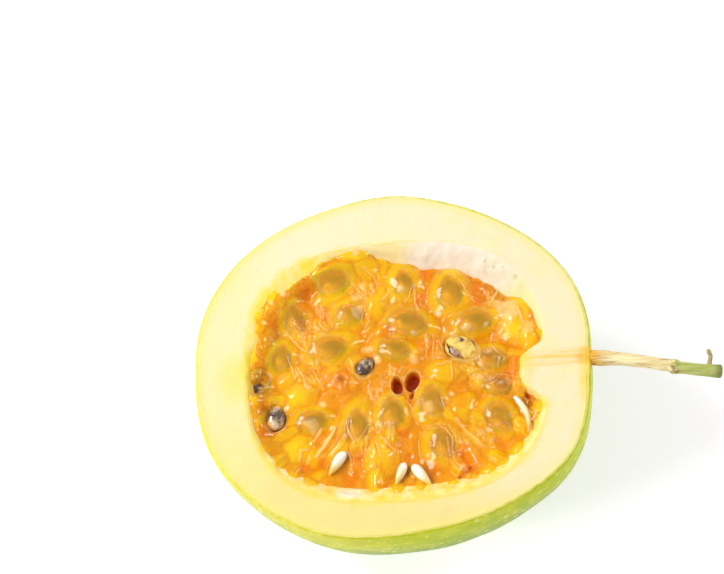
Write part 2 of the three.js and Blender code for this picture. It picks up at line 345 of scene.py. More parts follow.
# the fruit's outlines, as the solids have them
fruit = {
    "length": 78.4, "width": 69.2, "halfDepth": 34.6, "cutRise": 4.5, "restDepth": 0.9,
    "skinSquareness": 2.15, "cavityLength": 57.8, "cavityWidth": 51.6, "cavityDepth": 28.5,
    "cavitySquareness": 2.7, "cavityShift": (0.6, -1.1),
    # where the outline swells: direction, height, spread
    "swells": [(-4, -0.9, 13), (48, -0.75, 20), (88, 0.9, 14), (179, -0.5, 12), (-114, 0.5, 14),
               (-70, -0.6, 22), (-33, 0.8, 12)],
    "lipTurn": -4.4, "lipInset": 4.8, "lipSpread": 10.2, "lipDepth": 6,
    "bellyTurn": -80, "bellyHeight": 1.1, "bellySpread": 30,
}


def near(turns, centre, spread, power=4):
    # 1 in one direction of the fruit, fading to 0 round it
    return np.exp(-(((np.degrees(turns) - centre + 180) % 360 - 180) / spread) ** power)


def ovalRadius(turns, length, width, squareness):
    along = np.abs(2 * np.cos(turns) / length) ** squareness
    across = np.abs(2 * np.sin(turns) / width) ** squareness
    return (along + across) ** (-1 / squareness)


def skinRadius(turns, rise):
    radius = ovalRadius(turns, fruit["length"], fruit["width"], fruit["skinSquareness"])
    for centre, height, spread in fruit["swells"]:
        radius = radius + height * near(turns, centre, spread, 2)
    droop = math.sin(math.pi * (fruit["cutRise"] - rise) / faceHeight)
    bulge = fruit["bellyHeight"] * droop * near(turns, fruit["bellyTurn"], fruit["bellySpread"], 2)
    return radius * math.sqrt(max(0, 1 - (rise / fruit["halfDepth"]) ** 2)) + bulge


def cavityRadius(turns, depth):
    share = math.sqrt(max(0, 1 - (depth / fruit["cavityDepth"]) ** 2))
    lipShare = max(0, 1 - depth / fruit["lipDepth"]) * near(turns, fruit["lipTurn"], fruit["lipSpread"], 6)
    oval = ovalRadius(turns, fruit["cavityLength"], fruit["cavityWidth"], fruit["cavitySquareness"])
    return share * oval - fruit["lipInset"] * lipShare


# the rind: skin, pith and the wall of the hollow in one closed shell
rindLook = {
    "segments": 420, "domeRings": 70, "rimRings": 5, "faceRings": 40, "slopeRings": 14, "wallRings": 10,
    "rimRound": 0.25, "lipRound": 0.35, "slopeWidth": 0.7, "slopeDepth": 2.4, "lowerWidth": 2.4,
    "shelfTurn": 60, "shelfSpread": 36, "shelfWidth": 4.6, "shelfDepth": 4.2,
    "ledgeTurn": 142, "ledgeSpread": 34, "ledgeWidth": 3.0, "ledgeDepth": 0.8,
    "faceWaves": 0.09, "finerWaves": 0.025, "wallWaves": 0.3, "skinLumps": 0.16, "edgeWander": 0.28,
}


def shelfShare(turns):
    # where the pulp has sunk away, at the far right
    return near(turns, rindLook["shelfTurn"], rindLook["shelfSpread"])


def ledgeShare(turns):
    # where the pith reaches in over the pulp, at the left of the far side
    return near(turns, rindLook["ledgeTurn"], rindLook["ledgeSpread"])


turns = 2 * np.pi * np.arange(rindLook["segments"]) / rindLook["segments"]
inwards = np.stack([np.cos(turns), np.sin(turns), np.zeros_like(turns)], axis=1)
shelf, ledge = shelfShare(turns), ledgeShare(turns)
slopeWidth = rindLook["slopeWidth"] + rindLook["lowerWidth"] * near(turns, -90, 70) \
    + rindLook["shelfWidth"] * shelf + (rindLook["ledgeWidth"] - rindLook["slopeWidth"]) * ledge
slopeDepth = rindLook["slopeDepth"] + (rindLook["shelfDepth"] - rindLook["slopeDepth"]) * shelf \
    - (rindLook["slopeDepth"] - rindLook["ledgeDepth"]) * ledge
# the rim is most ragged at the far side, and the hollow's edge wanders most at the near side
rimNoise = noiseAt(inwards * 60, 1.6, 2) * (0.6 + 0.5 * near(turns, 80, 40))
edgeNoise = noiseAt(inwards * 28, 3.0, 8, 3)
edgeWander = rindLook["edgeWander"] * (1 + 1.3 * edgeNoise) * (0.35 + 0.65 * near(turns, -110, 80))


def ringAt(radius, height, shiftX=0, shiftY=0):
    # a level ring of points round the fruit
    x, y = shiftX + radius * np.cos(turns), shiftY + radius * np.sin(turns)
    return np.stack([x, y, height + np.zeros_like(turns)], axis=1)


def skinRing(rise):
    return ringAt(skinRadius(turns, rise), faceHeight - fruit["cutRise"] + rise)


def cavityRing(inset, depth, wallDepth=0):
    return ringAt(cavityRadius(turns, wallDepth) - inset, faceHeight - depth, *fruit["cavityShift"])


def stepShares(count):
    # even steps up to 1
    return [step / count for step in range(1, count + 1)]


def rindRings():
    # each ring with its share of skin, its distance from the rim and its distance from the hollow
    rings = [(np.zeros((len(turns), 3)), 1, -40, 20)]
    restTurn = math.asin((fruit["restDepth"] - fruit["halfDepth"]) / fruit["halfDepth"])
    cutTurn = math.asin((fruit["cutRise"] - rindLook["rimRound"]) / fruit["halfDepth"])
    for share in [0] + stepShares(rindLook["domeRings"]):
        share = 1 - (1 - share) ** 1.35  # closer together towards the rim
        ring = skinRing(fruit["halfDepth"] * math.sin(restTurn + (cutTurn - restTurn) * share))
        rings.append((ring, 1, -40 * (1 - share), 10))
    rim = skinRing(fruit["cutRise"])
    for share in stepShares(rindLook["rimRings"]):
        bend = math.pi / 2 * share
        ring = rim - inwards * rindLook["rimRound"] * (1 - math.cos(bend))
        ring[:, 2] -= rindLook["rimRound"] * (1 - math.sin(bend))
        rings.append((ring, 1 - share, 0, 9))
    faceStart, faceEnd = rings[-1][0], cavityRing(-rindLook["lipRound"], 0)
    wide = np.linalg.norm(faceStart[:, :2] - faceEnd[:, :2], axis=1)
    for share in stepShares(rindLook["faceRings"]):
        share = 0.5 * share + 0.5 * share * share * (3 - 2 * share)
        rings.append((faceStart + (faceEnd - faceStart) * share, 0, wide * share, wide * (1 - share)))
    for share in stepShares(rindLook["slopeRings"]):
        wander = edgeWander * math.sin(math.pi * min(1, share * 1.4 + 0.1))
        inset = -rindLook["lipRound"] + (slopeWidth + rindLook["lipRound"]) * share + wander
        ring = cavityRing(inset, slopeDepth * (0.3 * share + 0.7 * share ** 1.5))
        rings.append((ring, 0, wide + share, -slopeDepth * share))
    for share in stepShares(rindLook["wallRings"]):
        drop = math.sin(math.pi / 2 * share)
        depth = slopeDepth + (fruit["cavityDepth"] - slopeDepth) * drop
        wallDepth = rindLook["slopeDepth"] + (fruit["cavityDepth"] - rindLook["slopeDepth"]) * drop
        rings.append((cavityRing(slopeWidth * max(0, 1 - 3 * share), depth, wallDepth), 0, wide + 5, -10))
    rings[-1][0][:, :2] = fruit["cavityShift"]
    return rings


def weatherRind(points, masks):
    # the cut is a little wavy, the skin faintly lumpy
    onFace = (masks["rimGap"] > 0) & (masks["cavityGap"] > -9)
    face, toRim, toCavity = points[onFace], masks["rimGap"][onFace], masks["cavityGap"][onFace]
    waves = noiseAt(face, 5, 1) * rindLook["faceWaves"] + noiseAt(face, 1.1, 4) * rindLook["finerWaves"]
    waves += noiseAt(face * (1, 1, 0.5), 2.0, 9, 2) * rindLook["wallWaves"] * smoothStep(0.1, -0.8, toCavity)
    fade = smoothStep(-9, -4, toCavity) * smoothStep(0, 1.2, toRim)
    points[onFace, 2] += waves * fade - 0.08 * fade
    onSkin = masks["skin"] >= 1
    skin = points[onSkin]
    lumps = noiseAt(skin, 9, 5) * rindLook["skinLumps"]
    lumps = lumps * smoothStep(0, 6, skin[:, 2]) * smoothStep(38, 34, skin[:, 2])
    outwards = skin - (0, 0, faceHeight - fruit["cutRise"])
    outwards /= np.linalg.norm(outwards, axis=1)[:, None]
    points[onSkin] += outwards * (lumps - 0.08)[:, None]


rings = rindRings()
rind, rows = growRings("rind", rindLook["segments"], [ring for ring, *_ in rings])
points = pointsOf(rind)
masks = {name: np.zeros(len(points)) for name in ("skin", "rimGap", "cavityGap")}
for row, (_, *values) in zip(rows, rings):
    for mask, value in zip(masks.values(), values):
        mask[row] = value
weatherRind(points, masks)
rimStart = rindLook["domeRings"] + 1
for row in rows[rimStart:rimStart + rindLook["rimRings"] + 3]:
    points[row] -= inwards * (0.12 + 0.2 * rimNoise)[:, None]
    points[row, 2] -= 0.08 + 0.1 * rimNoise
movePoints(rind, points)
for name, values in masks.items():
    storeMask(rind, name, values)
closeUp(rind, 50)
print("rind:", len(rind.data.polygons), "faces")

rindMaterial = newMaterial("rindSkinAndPith")
acrossX, acrossY, upZ = addNode("ShaderNodeSeparateXYZ", {0: objectPlace()}).outputs  # in metres
skinShare, fromRim, fromCavity = (attributeValue(name) for name in ("skin", "rimGap", "cavityGap"))
# skin: two greens in soft clouds, lime towards the cut, pale speckles, a few scars
clouds = cloudMask(12, 0.35, 0.68)
green = mixColours(clouds, (102, 144, 8), (146, 176, 20))
nearCut = rampMask(upZ, 0.024, 0.0375)
lime = mixColours(rampMask(acrossX, 0.012, -0.024), (196, 210, 14), (216, 206, 38))
green = layer(green, nearCut, lime, 0.9)
green = layer(green, times(cloudMask(4, 0.45, 0.6, (1, 1, 1.8)), nearCut), (218, 218, 46), 0.6)
speckles = times(dotMask(1.1, 0.4, 0.24, 0.8), 0.45)
speckles = plus(times(dotMask(1.8, 0.38, 0.2, 0.9), 0.7), speckles, True)
green = layer(green, speckles, (232, 236, 106))
green = layer(green, cloudMask(6, 0.7, 0.76, (1, 1, 2.2), 5), (150, 140, 70), 0.45)
# pith: cream, yellower low on the face, greener at the rim
lowward = scaled(acrossX, -0.35, times(acrossY, -1))
pith = mixColours(rampMask(lowward, 0.01, 0.031), (250, 230, 190), (250, 219, 142))
pith = layer(pith, rampMask(acrossX, -0.018, -0.036), (250, 226, 160), 0.6)
pith = layer(pith, cloudMask(7, 0.45, 0.72), (250, 230, 150), 0.35)
pith = layer(pith, rampMask(fromRim, 2.6, 0.1), (236, 226, 128), 0.6)
pith = layer(pith, times(rampMask(fromRim, 0.55, 0.02), scaled(clouds, 0.5, 0.14)), (204, 210, 64))
# a yellow tint round the hollow: at the front the pith's own yellow, at the left also a painted glow that
# lightens the shaded slope; and a darker thread along its lip
nearFront = rampMask(acrossY, 0.004, -0.016)
leftPaintedGlow = times(rampMask(acrossX, -0.002, -0.02), rampMask(acrossY, -0.012, 0.004))
glowClouds = cloudMask(3, 0.3, 0.7)
glowWidth = scaled(nearFront, 0.8, scaled(glowClouds, 1.2, times(leftPaintedGlow, 1.1)))
glowShare = plus(scaled(nearFront, 0.35, 0.3), times(leftPaintedGlow, scaled(glowClouds, 0.55, 0.35)), True)
pith = layer(pith, times(rampMask(fromCavity, glowWidth, -0.8), glowShare), (250, 218, 62))
thread = maths("ABSOLUTE", plus(fromCavity, scaled(glowClouds, 0.5, -0.25)))
frontLeft = plus(rampMask(lowward, -0.004, 0.012), rampMask(acrossY, 0.019, 0.024), True)
pith = layer(pith, times(rampMask(thread, 0.3, 0.05), frontLeft), (238, 204, 40), 0.35)
# the near wall is yellow with whitish flecks
wallTint = mixColours(cloudMask(2.4, 0.3, 0.7), (252, 214, 72), (255, 238, 172))
pith = layer(pith, times(rampMask(fromCavity, 0.2, -0.6), nearFront), wallTint, 0.85)
# marks on the pith: place, stretch, inner and outer reach, tint, then what breaks it up: mask, share, least
tuftDots = cloudMask(0.8, 0.3, 0.6)
sunken = rampMask(fromCavity, 0.35, -0.25)
strandThreads = cloudMask(0.7, 0.42, 0.6, (0.1, 1, 1))
pores = [((24.9, 16.0, 37.2), 0.6), ((20.8, 18.6, 36.5), 0.4), ((19.2, 19.9, 37), 0.4),
         ((22.6, 18.2, 37.2), 0.3)]
pithMarks = [
    ((-9.3, -24.3, 37.5), (0.6, 1, 1), 0.8, 2.4, (254, 244, 222), tuftDots, 0.6, 0.35),
    # a yellow stain at the left, spread wide so that it also lightens the shaded slope there: partly painted
    # light
    ((-30.5, -0.5, 38), (1, 0.7, 0.4), 0.8, 5.5, (250, 222, 92), clouds, 0, 0.6),
    ((16, 21, 36), (0.75, 1.15, 1), 7, 11.5, (250, 232, 208), sunken, 1, 0),  # the membrane of the far wall
    ((21.5, 17.5, 37), (0.8, 1.1, 0.5), 1.5, 5, (232, 222, 184), cloudMask(1.4), 0.5, 0.2),
    *[(place, (1, 1, 0.3), reach * 0.4, reach * 1.3, (196, 192, 140), clouds, 0, 0.6)
      for place, reach in pores],
    ((34.5, -1.4, 38.2), (0.13, 1, 0.6), 0.7, 2.4, (248, 198, 48), strandThreads, 0.45, 0.2),
    ((37.5, -6.8, 38.2), (0.9, 0.4, 0.3), 0.6, 2.6, (246, 212, 50), glowClouds, 0.5, 0.4),
    ((25.6, -1.5, 38.2), (1, 0.45, 0.3), 0.6, 2.6, (250, 214, 70), glowClouds, 0.5, 0.4),
    ((37.8, -1.4, 38.2), (0.7, 1, 0.3), 0.6, 2.6, (240, 168, 44), glowClouds, 0.5, 0.4),
]
for place, stretch, inner, outer, tint, breaks, share, least in pithMarks:
    pith = layer(pith, times(spotMask(place, stretch, inner, outer), scaled(breaks, share, least)), tint)
base = mixColours(skinShare, pith, green)
base = layer(base, spotMask((39.6, -1.6, 37.2), (0.8, 1, 0.7), 1.4, 3.2), (244, 196, 60), 0.85)  # by the stem
fine = scaled(cloudMask(0.6, 0.2, 0.8, detail=4), 0.4, times(speckles, 0.9))
plugIn(shader, {
    "Base Color": base, "Roughness": scaled(skinShare, -0.16, scaled(clouds, 0.08, 0.5)),
    "Normal": bumpFrom(fine, 0.35, 0.00015), "Specular IOR Level": 0.1, "Subsurface Weight": 0.15,
    "Subsurface Radius": (1.0, 0.8, 0.35), "Subsurface Scale": 0.002})
rind.data.materials.append(rindMaterial)
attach(rind, "root")
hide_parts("rind")

# what lies in the pulp
# place, direction of the long side, half length, half width, half length of the seed inside
sacs = [
    (-10.6, 18.6, 17, 4, 3.1, 2.5), (-7.8, 11.8, 0, 2.9, 2.4, 2.1), (2.9, 17.6, 90, 3.8, 2.7, 2),
    (11.9, 14.9, 88, 3.8, 2.9, 2.6), (-18.8, 11.7, 95, 3.8, 2.6, 2.2), (-12.2, 5.1, 17, 4, 2.8, 2.9),
    (-21.7, 4, 75, 3.2, 2.4, 2), (3.5, 9.1, -18, 4.1, 2.3, 3.1), (0.5, 3.9, -20, 3.3, 1.8, 2.4),
    (16.4, 8.4, 5, 3.9, 2.3, 2.7), (-0.8, -8.8, 85, 3.2, 2.7, 2.5), (7, -7.3, 88, 3.5, 2.6, 2.6),
    (19.8, -11.6, -65, 3.3, 2.4, 2.6), (-7.7, -10.9, 80, 4.2, 2.5, 2.5), (-16.1, -9.3, 10, 3.1, 2.2, 2.3),
    (8.7, -15.8, 100, 3.4, 2.9, 2.5), (19, 0.4, 0, 3, 2.1, 2.4), (20, -4.9, -20, 2.6, 1.8, 2.1),
    (-10.9, -1.4, -20, 2.8, 2, 0), (-2.5, 13.5, 68, 3.1, 1.8, 0), (-18.4, -4.1, 30, 3.2, 2.1, 0),
    (-19.3, -14.8, 45, 3.2, 2.2, 0), (10.2, -1.4, 0, 3, 1.7, 0), (12.9, -9.3, 60, 2.7, 2.1, 0),
    (15.1, -16.4, -50, 2.8, 2, 0), (-3.4, -17.2, 80, 3.4, 2.3, 0), (-4, 20.8, 0, 2.6, 1.8, 0),
]
# place, direction, half length
bareSeeds = [(-26.4, -1.1, 35, 2.4), (-23.3, -8, 80, 2.5), (-5.6, 0.9, 45, 2.1), (13.3, 3.1, -34, 3.3)]
ovules = [(-11.8, -18.1, 235, 2.9), (0.2, -21.3, 245, 2.4), (4.3, -21.9, -52, 2.8)]
# the last ovule is drawn out into a strand: x, y, radius
ovuleStrand = [
    (22.9, -7.8, 0.28), (23.7, -8.8, 0.55), (24.7, -10.5, 0.62), (25.2, -12, 0.55), (25.2, -14.2, 0.42),
    (24.7, -16.2, 0.2),
]
# place, direction, half length, half width, depth, darkness; the darkness is partly the holes' own red-brown
# and partly painted shade
pits = [
    (0.5, -3.6, 95, 1.7, 0.95, 2.6, 1), (3.5, -2.9, 70, 1.8, 1.25, 2.6, 1),
    (3.3, -5.7, 65, 0.8, 0.3, 0.9, 0.5), (25.5, -7.6, 100, 0.75, 0.5, 0.9, 1),
    (26.1, -10, 100, 1.3, 0.55, 0.3, 0.4), (27.1, -12.2, 75, 0.6, 0.25, 0.5, 0.7),
    (26.2, -14.6, 75, 1.3, 0.5, 0.5, 0.9), (12.5, -22, 43, 1.7, 0.45, 0.7, 0.8),
]
# where the flesh is deeper orange (up to 1), brown (2) or yellow (below 0): x, y, reach, tone
tones = [
    (-23, 11.3, 1.8, 1), (-15.9, 17.2, 2, 1), (-8.1, 24.3, 0.8, 1), (-26.1, 2.4, 1.4, 1),
    (-12.1, 22, 1.2, 1), (-16.9, 14, 1.4, 1), (7.6, 19.1, 1.6, 1), (17.4, 14.9, 2, 1),
    (17.6, 11.9, 1.3, 1), (6.2, 13.8, 1.1, 1), (20.5, 6.3, 0.9, 1), (23.6, -1.3, 1.6, 1),
    (24.3, 2.1, 0.9, 1), (27.3, 8.5, 1.2, 0.8), (-0.7, 7.5, 1.3, 1.2), (-25.8, -5.4, 1.8, 1),
    (-25.8, -10.8, 1.6, 1), (-23.5, -15.1, 1.8, 1), (-14.4, -17.8, 1.6, 1), (-9.4, -20.9, 2, 1),
    (-11.6, -13.4, 0.9, 1), (-18.3, -18.6, 1.3, 1), (-7.5, -17.1, 1.3, 1), (-3.7, -23.3, 1.1, 1),
    (6.7, -21.1, 1.8, 1), (13.6, -19.9, 2.2, 1), (12.3, -17.1, 1.3, 1.2), (22.7, -3.3, 1.9, 1),
    (2.2, -17.9, 1.1, 1), (12, -8.6, 1.6, 0.8), (6.8, -16.2, 1.2, 1.5), (1, -13.3, 1.2, 0.8),
    (18.9, -16.4, 1.1, 0.9), (-10.5, -1.7, 2.1, 1.7), (20.3, -4.8, 1.3, 1.8), (18.4, 0.6, 1.3, 1.4),
    (-17.6, 10.6, 0.9, 1.9), (13.3, 4.6, 1.1, 1.6), (-13.6, 1, 0.9, 1.2), (3.3, -7, 0.9, 1),
    (-23.4, 16.4, 2.1, -1), (-25.8, 11.9, 1.3, -1), (-5.9, 23.2, 2.5, -1), (-16.5, 22.3, 1.5, -1),
    (-10.6, 15.7, 2.2, -0.8), (-23.3, 6.2, 1.5, -1), (0.5, 19.1, 1.5, -0.7), (-12, 1.9, 1.5, -0.7),
    (12.7, 19.2, 1.5, -1), (23.2, 5.5, 2.1, -1.2), (26.7, 11.4, 1.2, -1), (-20.2, -15, 2.1, -1.2),
    (-19, -4.5, 2.3, -0.8), (-5.5, -20.6, 1.9, -1), (-15.1, -21.4, 1.7, -1), (-6.7, -14.3, 1.2, -1),
    (18.4, -18, 1.1, -1.2), (22, -12.3, 1.5, -1), (10, -23.2, 1.7, -1), (14.5, -13, 1.5, -0.6),
    (24.2, -19.8, 1.3, -1.2), (27.6, -12, 1.2, -1), (10, -3, 1.8, -0.5),
]
# folds of the sacs' skin: half width, how pale (partly whitish membrane, partly painted highlight), then the
# points
folds = [
    (0.28, 0.9, (-6.8, 18), (-5.8, 16.2), (-4.3, 14.9)), (0.38, 1, (-3.5, 17.7), (-2.7, 16), (-3.3, 15.4)),
    (0.24, 0.8, (-4.7, 20.8), (-2.8, 19), (-1.9, 16.8)),
    (0.2, 0.8, (-9.2, 13), (-6.8, 13.4), (-4.5, 13.8)),
    (0.2, 0.8, (-4.5, 13.8), (-4.7, 11.7), (-5.6, 9.8)),
    (0.2, 0.7, (-4.3, 10.3), (-4, 9.1), (-5.1, 8.5), (-5.5, 9.7)),
    (0.3, 0.9, (-13.3, 14.1), (-12.8, 12.2), (-13.3, 11.2)), (0.26, 0.9, (-12.4, 12.6), (-12.1, 11.1)),
    (0.2, 0.7, (-11.6, 12.6), (-11.4, 10.7), (-11, 9)),
    (0.28, 0.9, (-14.2, 14), (-13.7, 11.8), (-13.8, 10), (-12.3, 8.7), (-13.2, 7.7)),
    (0.26, 0.8, (-19.2, 10.7), (-18, 9.2), (-16.4, 8.8), (-16.8, 6.8), (-16.4, 4.2)),
    (0.32, 0.8, (-20.2, 8.7), (-18.5, 6.2), (-16.4, 4.2)),
    (0.22, 0.6, (-15.2, 8), (-15.8, 6), (-16.4, 4.2)), (0.25, 1, (-19, 11.4), (-18.4, 9.7)),
    (0.3, 0.9, (-20.4, 3.9), (-19.6, 1.3), (-18.8, -1.1)),
    (0.28, 0.9, (-18.7, 1.7), (-17.7, 0), (-17.1, -2.1)),
    (0.24, 0.9, (3.1, 13.1), (4.2, 14.9), (5.2, 16.5)), (0.32, 1, (5.2, 16.2), (4.9, 13.6), (5.6, 11.3)),
    (0.24, 0.9, (7.6, 16.6), (7.3, 14.1)), (0.28, 0.9, (14.2, 16.7), (14.9, 15.3), (15.4, 13.4)),
    (0.24, 0.9, (16, 12.9), (16.8, 12.1)), (0.3, 0.9, (6.8, 6.3), (6.8, 4), (6.5, 1.7)),
    (0.22, 0.8, (8.1, 6.2), (8, 3.9), (8, 1.6)), (0.22, 0.7, (9.1, 5.9), (9.3, 4.2), (10.1, 3)),
    (0.28, 0.9, (19.9, 5.8), (19.5, 4.7), (18.9, 3.7)), (0.4, 0.7, (24.7, 10.2), (25.2, 8.8), (25.5, 6.9)),
    (0.32, 1, (8, -0.2), (9.7, -0.4), (11.2, 0.2)), (0.32, 1, (19.9, 0.1), (20.9, 0), (20.3, -1.7)),
    (0.28, 0.9, (17.6, 1.7), (19.4, 2.4), (20.8, 1)),
    (0.28, 0.8, (-17.7, 0.1), (-16.6, -0.8), (-15.5, -1.7)),
    (0.28, 0.8, (-16.3, 1.5), (-15.3, 0.2), (-14.3, -1.7), (-13.9, -3.3)),
    (0.35, 1, (-17.4, -2), (-16.5, -3.2)), (0.25, 0.8, (-17.9, -9.5), (-16.6, -9.4), (-15.3, -9)),
    (0.42, 0.9, (-14.2, -11.2), (-15.1, -12.2), (-16.1, -13.4)),
    (0.8, 0.9, (-11.8, -11.1), (-13.1, -13.1), (-14.7, -15.2), (-15.6, -16.8)),
    (0.36, 0.9, (-17.1, -15.2), (-18.3, -15.4), (-18.9, -17.2)),
    (0.32, 0.8, (-10, -15.8), (-9.2, -17.2), (-9.1, -18.8)),
    (0.32, 0.9, (-9.1, -10), (-9.2, -12.3), (-8.2, -14.6)),
    (0.24, 0.7, (-5.3, -11.5), (-6.1, -13), (-7.3, -14.3)),
    (0.36, 0.6, (-5.8, -13.5), (-6, -15.2), (-6.6, -17)),
    (0.26, 0.7, (-3.9, -13.9), (-3.6, -15.9), (-3.2, -17.9)),
    (0.26, 0.7, (-3.1, -13.4), (-1.8, -15.1), (-0.4, -17)),
    (0.32, 0.9, (-4.5, -2.1), (-5, -4.1), (-4.5, -5.7)),
    (0.26, 0.8, (5.1, -13.1), (7.2, -12.9), (9.3, -13.2), (10.5, -15.1), (10.6, -17.3), (10.7, -19.6)),
    (0.24, 0.7, (5.5, -12.4), (7.9, -12.2), (10, -12.6), (11.1, -14.2), (11.4, -16.5)),
    (0.26, 0.8, (9.6, -15), (9.8, -17.2), (10, -18.8)),
    (0.22, 0.8, (15.1, -13.2), (16, -14.8), (17.1, -16.3)),
    (0.75, 0.35, (11.6, -11.7), (13.5, -14.2), (15.1, -16.1), (16.4, -17.5)),
    (0.24, 0.8, (19.1, -13.5), (20.6, -13), (22, -14)),
    (0.28, 0.9, (15.3, -2.9), (16.8, -3.7), (18.7, -4.4), (21.1, -3.2)),
    (0.26, 0.8, (2.4, -7.2), (3.6, -8.7)), (0.36, 1, (9, -7.1), (9.2, -8), (9.6, -8.9)),
    (0.3, 0.8, (-2.3, -14), (-1.3, -15.6), (-0.3, -17)), (0.26, 0.8, (11.2, 0), (11.3, -2.1), (11, -3.4)),
    (0.4, 1, (19.6, 11.3), (20.4, 13.1), (22.2, 16.4)),
    (0.4, 1, (25.5, -13), (26.4, -12.6), (27.2, -11.4)),
]
# small raised knobs painted pale, mostly as painted glints and partly as whitish membrane: x, y, reach, how
# pale
knobs = [
    (-6.8, 14.9, 0.9, 1), (-20.6, 16.7, 0.8, 1), (-23, 14.6, 0.6, 0.9), (-25.7, 13.6, 0.6, 1),
    (-6.1, 23.9, 0.9, 0.9), (-24.5, 10.9, 0.5, 0.9), (-4.6, 4.3, 0.9, 0.8), (-3, 1.9, 0.9, 1),
    (-2.2, 20.1, 0.5, 0.9), (2.4, 15.7, 0.9, 0.8), (14.9, 6.7, 0.9, 0.6), (18.5, 7.1, 0.5, 1),
    (4, 1.5, 1, 0.9), (4.5, 6.5, 0.6, 0.7), (18.7, 1.8, 0.9, 0.8), (21.3, 11.3, 0.9, 0.8),
    (-16.8, -2.6, 0.6, 0.9), (-14.2, -6.1, 0.9, 1), (-4.5, -5.5, 0.6, 0.9), (-1.1, -11.8, 0.9, 0.6),
    (10.9, -6.1, 0.7, 1), (6.2, -16, 0.4, 0.7), (5.6, -18.4, 0.5, 0.8), (12.3, -21.1, 0.9, 0.8),
    (16.6, -3.4, 0.7, 0.9), (20.8, -5.4, 0.5, 0.8), (-10.9, -1, 0.4, 0.9), (-9.3, -2.4, 0.35, 0.9),
    (-10.6, -3.3, 0.45, 0.9), (-14.6, 1.9, 0.4, 0.8),
]
# thin raised sheets painted pale: some are membrane, others painted reflections of the lamps: how pale, then
# the corners
sheets = [
    (0.85, (19.6, 12.2), (24.6, 12), (25.4, 8.6), (23.4, 6.8), (21, 8.5)),
    (0.7, (25.9, 7.4), (27.4, 6.6), (27.2, 4.3), (25.4, 4.6)),
    (0.8, (-7.4, 12.9), (-4.8, 13.5), (-4.9, 11.4), (-5.8, 9.9), (-7.1, 10.9)),
    (0.4, (5.2, -8), (7.3, -7.5), (7.5, -9.6), (5.5, -10.2)),
    (0.6, (-17.9, -9.5), (-15.3, -9), (-14.2, -11.2), (-16.1, -12.6)),
    (0.5, (-19.2, 9.2), (-16.8, 8.5), (-16.6, 4.9)), (0.6, (-19.8, 2), (-17.7, 0.1), (-18.8, -0.8)),
    (0.45, (-2.4, -11.4), (-0.1, -11.4), (-0.6, -14.2), (-1.6, -14)),
    (0.65, (15.2, -13.3), (16.9, -13.6), (17.1, -15.9)), (0.8, (6, 6.4), (7.4, 6.1), (6.6, 2.2)),
    (0.4, (-14.3, 13.4), (-13.2, 13.9), (-12.6, 9.6), (-13.6, 9.8)),
]
sacSeeds = [(*sac[:3], sac[5]) for sac in sacs if sac[5]]
sacSeedWidth, bareSeedWidth = 0.66, 0.7  # as shares of the length


def turned(x, y, px, py, turn):
    # how far from a place along a direction, and across it
    cos, sin = math.cos(math.radians(turn)), math.sin(math.radians(turn))
    return (x - px) * cos + (y - py) * sin, (y - py) * cos - (x - px) * sin


def ovalGap(x, y, oval, taper=0.0):
    # 0 in the middle of an oval, 1 at its edge: place, direction, half length, half width
    along, across = turned(x, y, *oval[:3])
    along = along / oval[3]
    across = across / oval[4] / np.clip(1 - taper * along, 0.25, 2)
    return np.sqrt(along ** 2 + across ** 2)


def seedGap(x, y, seed, wide=sacSeedWidth, taper=0.22):
    # the same for a seed's outline: place, direction and half length
    return ovalGap(x, y, (*seed[:4], seed[3] * wide), taper)


def blob(x, y, px, py, reach):
    return np.exp(-((x - px) ** 2 + (y - py) ** 2) / reach ** 2)


def lineGap(x, y, line):
    # distance to a line of points, and how far along it
    best, along = np.full_like(x, 1e9), np.zeros_like(x)
    for number, (a, b) in enumerate(zip(line, line[1:])):
        ax, ay, bx, by = *a[:2], *b[:2]
        long = (bx - ax) ** 2 + (by - ay) ** 2
        share = np.clip(((x - ax) * (bx - ax) + (y - ay) * (by - ay)) / long, 0, 1)
        gap = np.hypot(x - ax - share * (bx - ax), y - ay - share * (by - ay))
        along = np.where(gap < best, (number + share) / (len(line) - 1), along)
        best = np.minimum(gap, best)
    return best, along


def cornersDepth(x, y, corners):
    # how far inside a shape with straight sides a point lies
    inside = np.full_like(x, 1e9)
    for (ax, ay), (bx, by) in zip(corners, corners[1:] + corners[:1]):
        depth = -((bx - ax) * (y - ay) - (by - ay) * (x - ax)) / math.hypot(bx - ax, by - ay)
        inside = np.minimum(inside, depth)
    return inside


def edgeGap(x, y):
    # how far inside the hollow's edge a point is, and its direction
    dx, dy = x - fruit["cavityShift"][0], y - fruit["cavityShift"][1]
    turns = np.arctan2(dy, dx)
    return cavityRadius(turns, 0) - np.hypot(dx, dy), turns


def toneAt(x, y):
    # yellow along the edge, most at the left
    fromEdge, turns = edgeGap(x, y)
    nearLeft = near(turns, 150, 55)
    fade = np.exp(-(np.clip(fromEdge, 0, 9) / (0.9 + 0.9 * nearLeft)) ** 2)
    tone = -(0.5 + 0.6 * nearLeft - 0.5 * shelfShare(turns)) * fade
    for px, py, reach, strength in tones:
        tone += strength * blob(x, y, px, py, reach)
    return tone


# the pulp: an opaque bed of flesh under the sacs
pulpLook = {
    "pitch": 0.34, "depth": 1.9, "waves": 0.4, "tuck": 1.1, "underside": 9.0, "halfX": 30.0, "halfY": 27.0,
    "seedPocket": 4.1, "barePocket": 3.7, "edgeDepth": 1.1, "leftRise": 1.0, "lowerDrop": 0.4,
    "shelfDrop": 3.0,
}


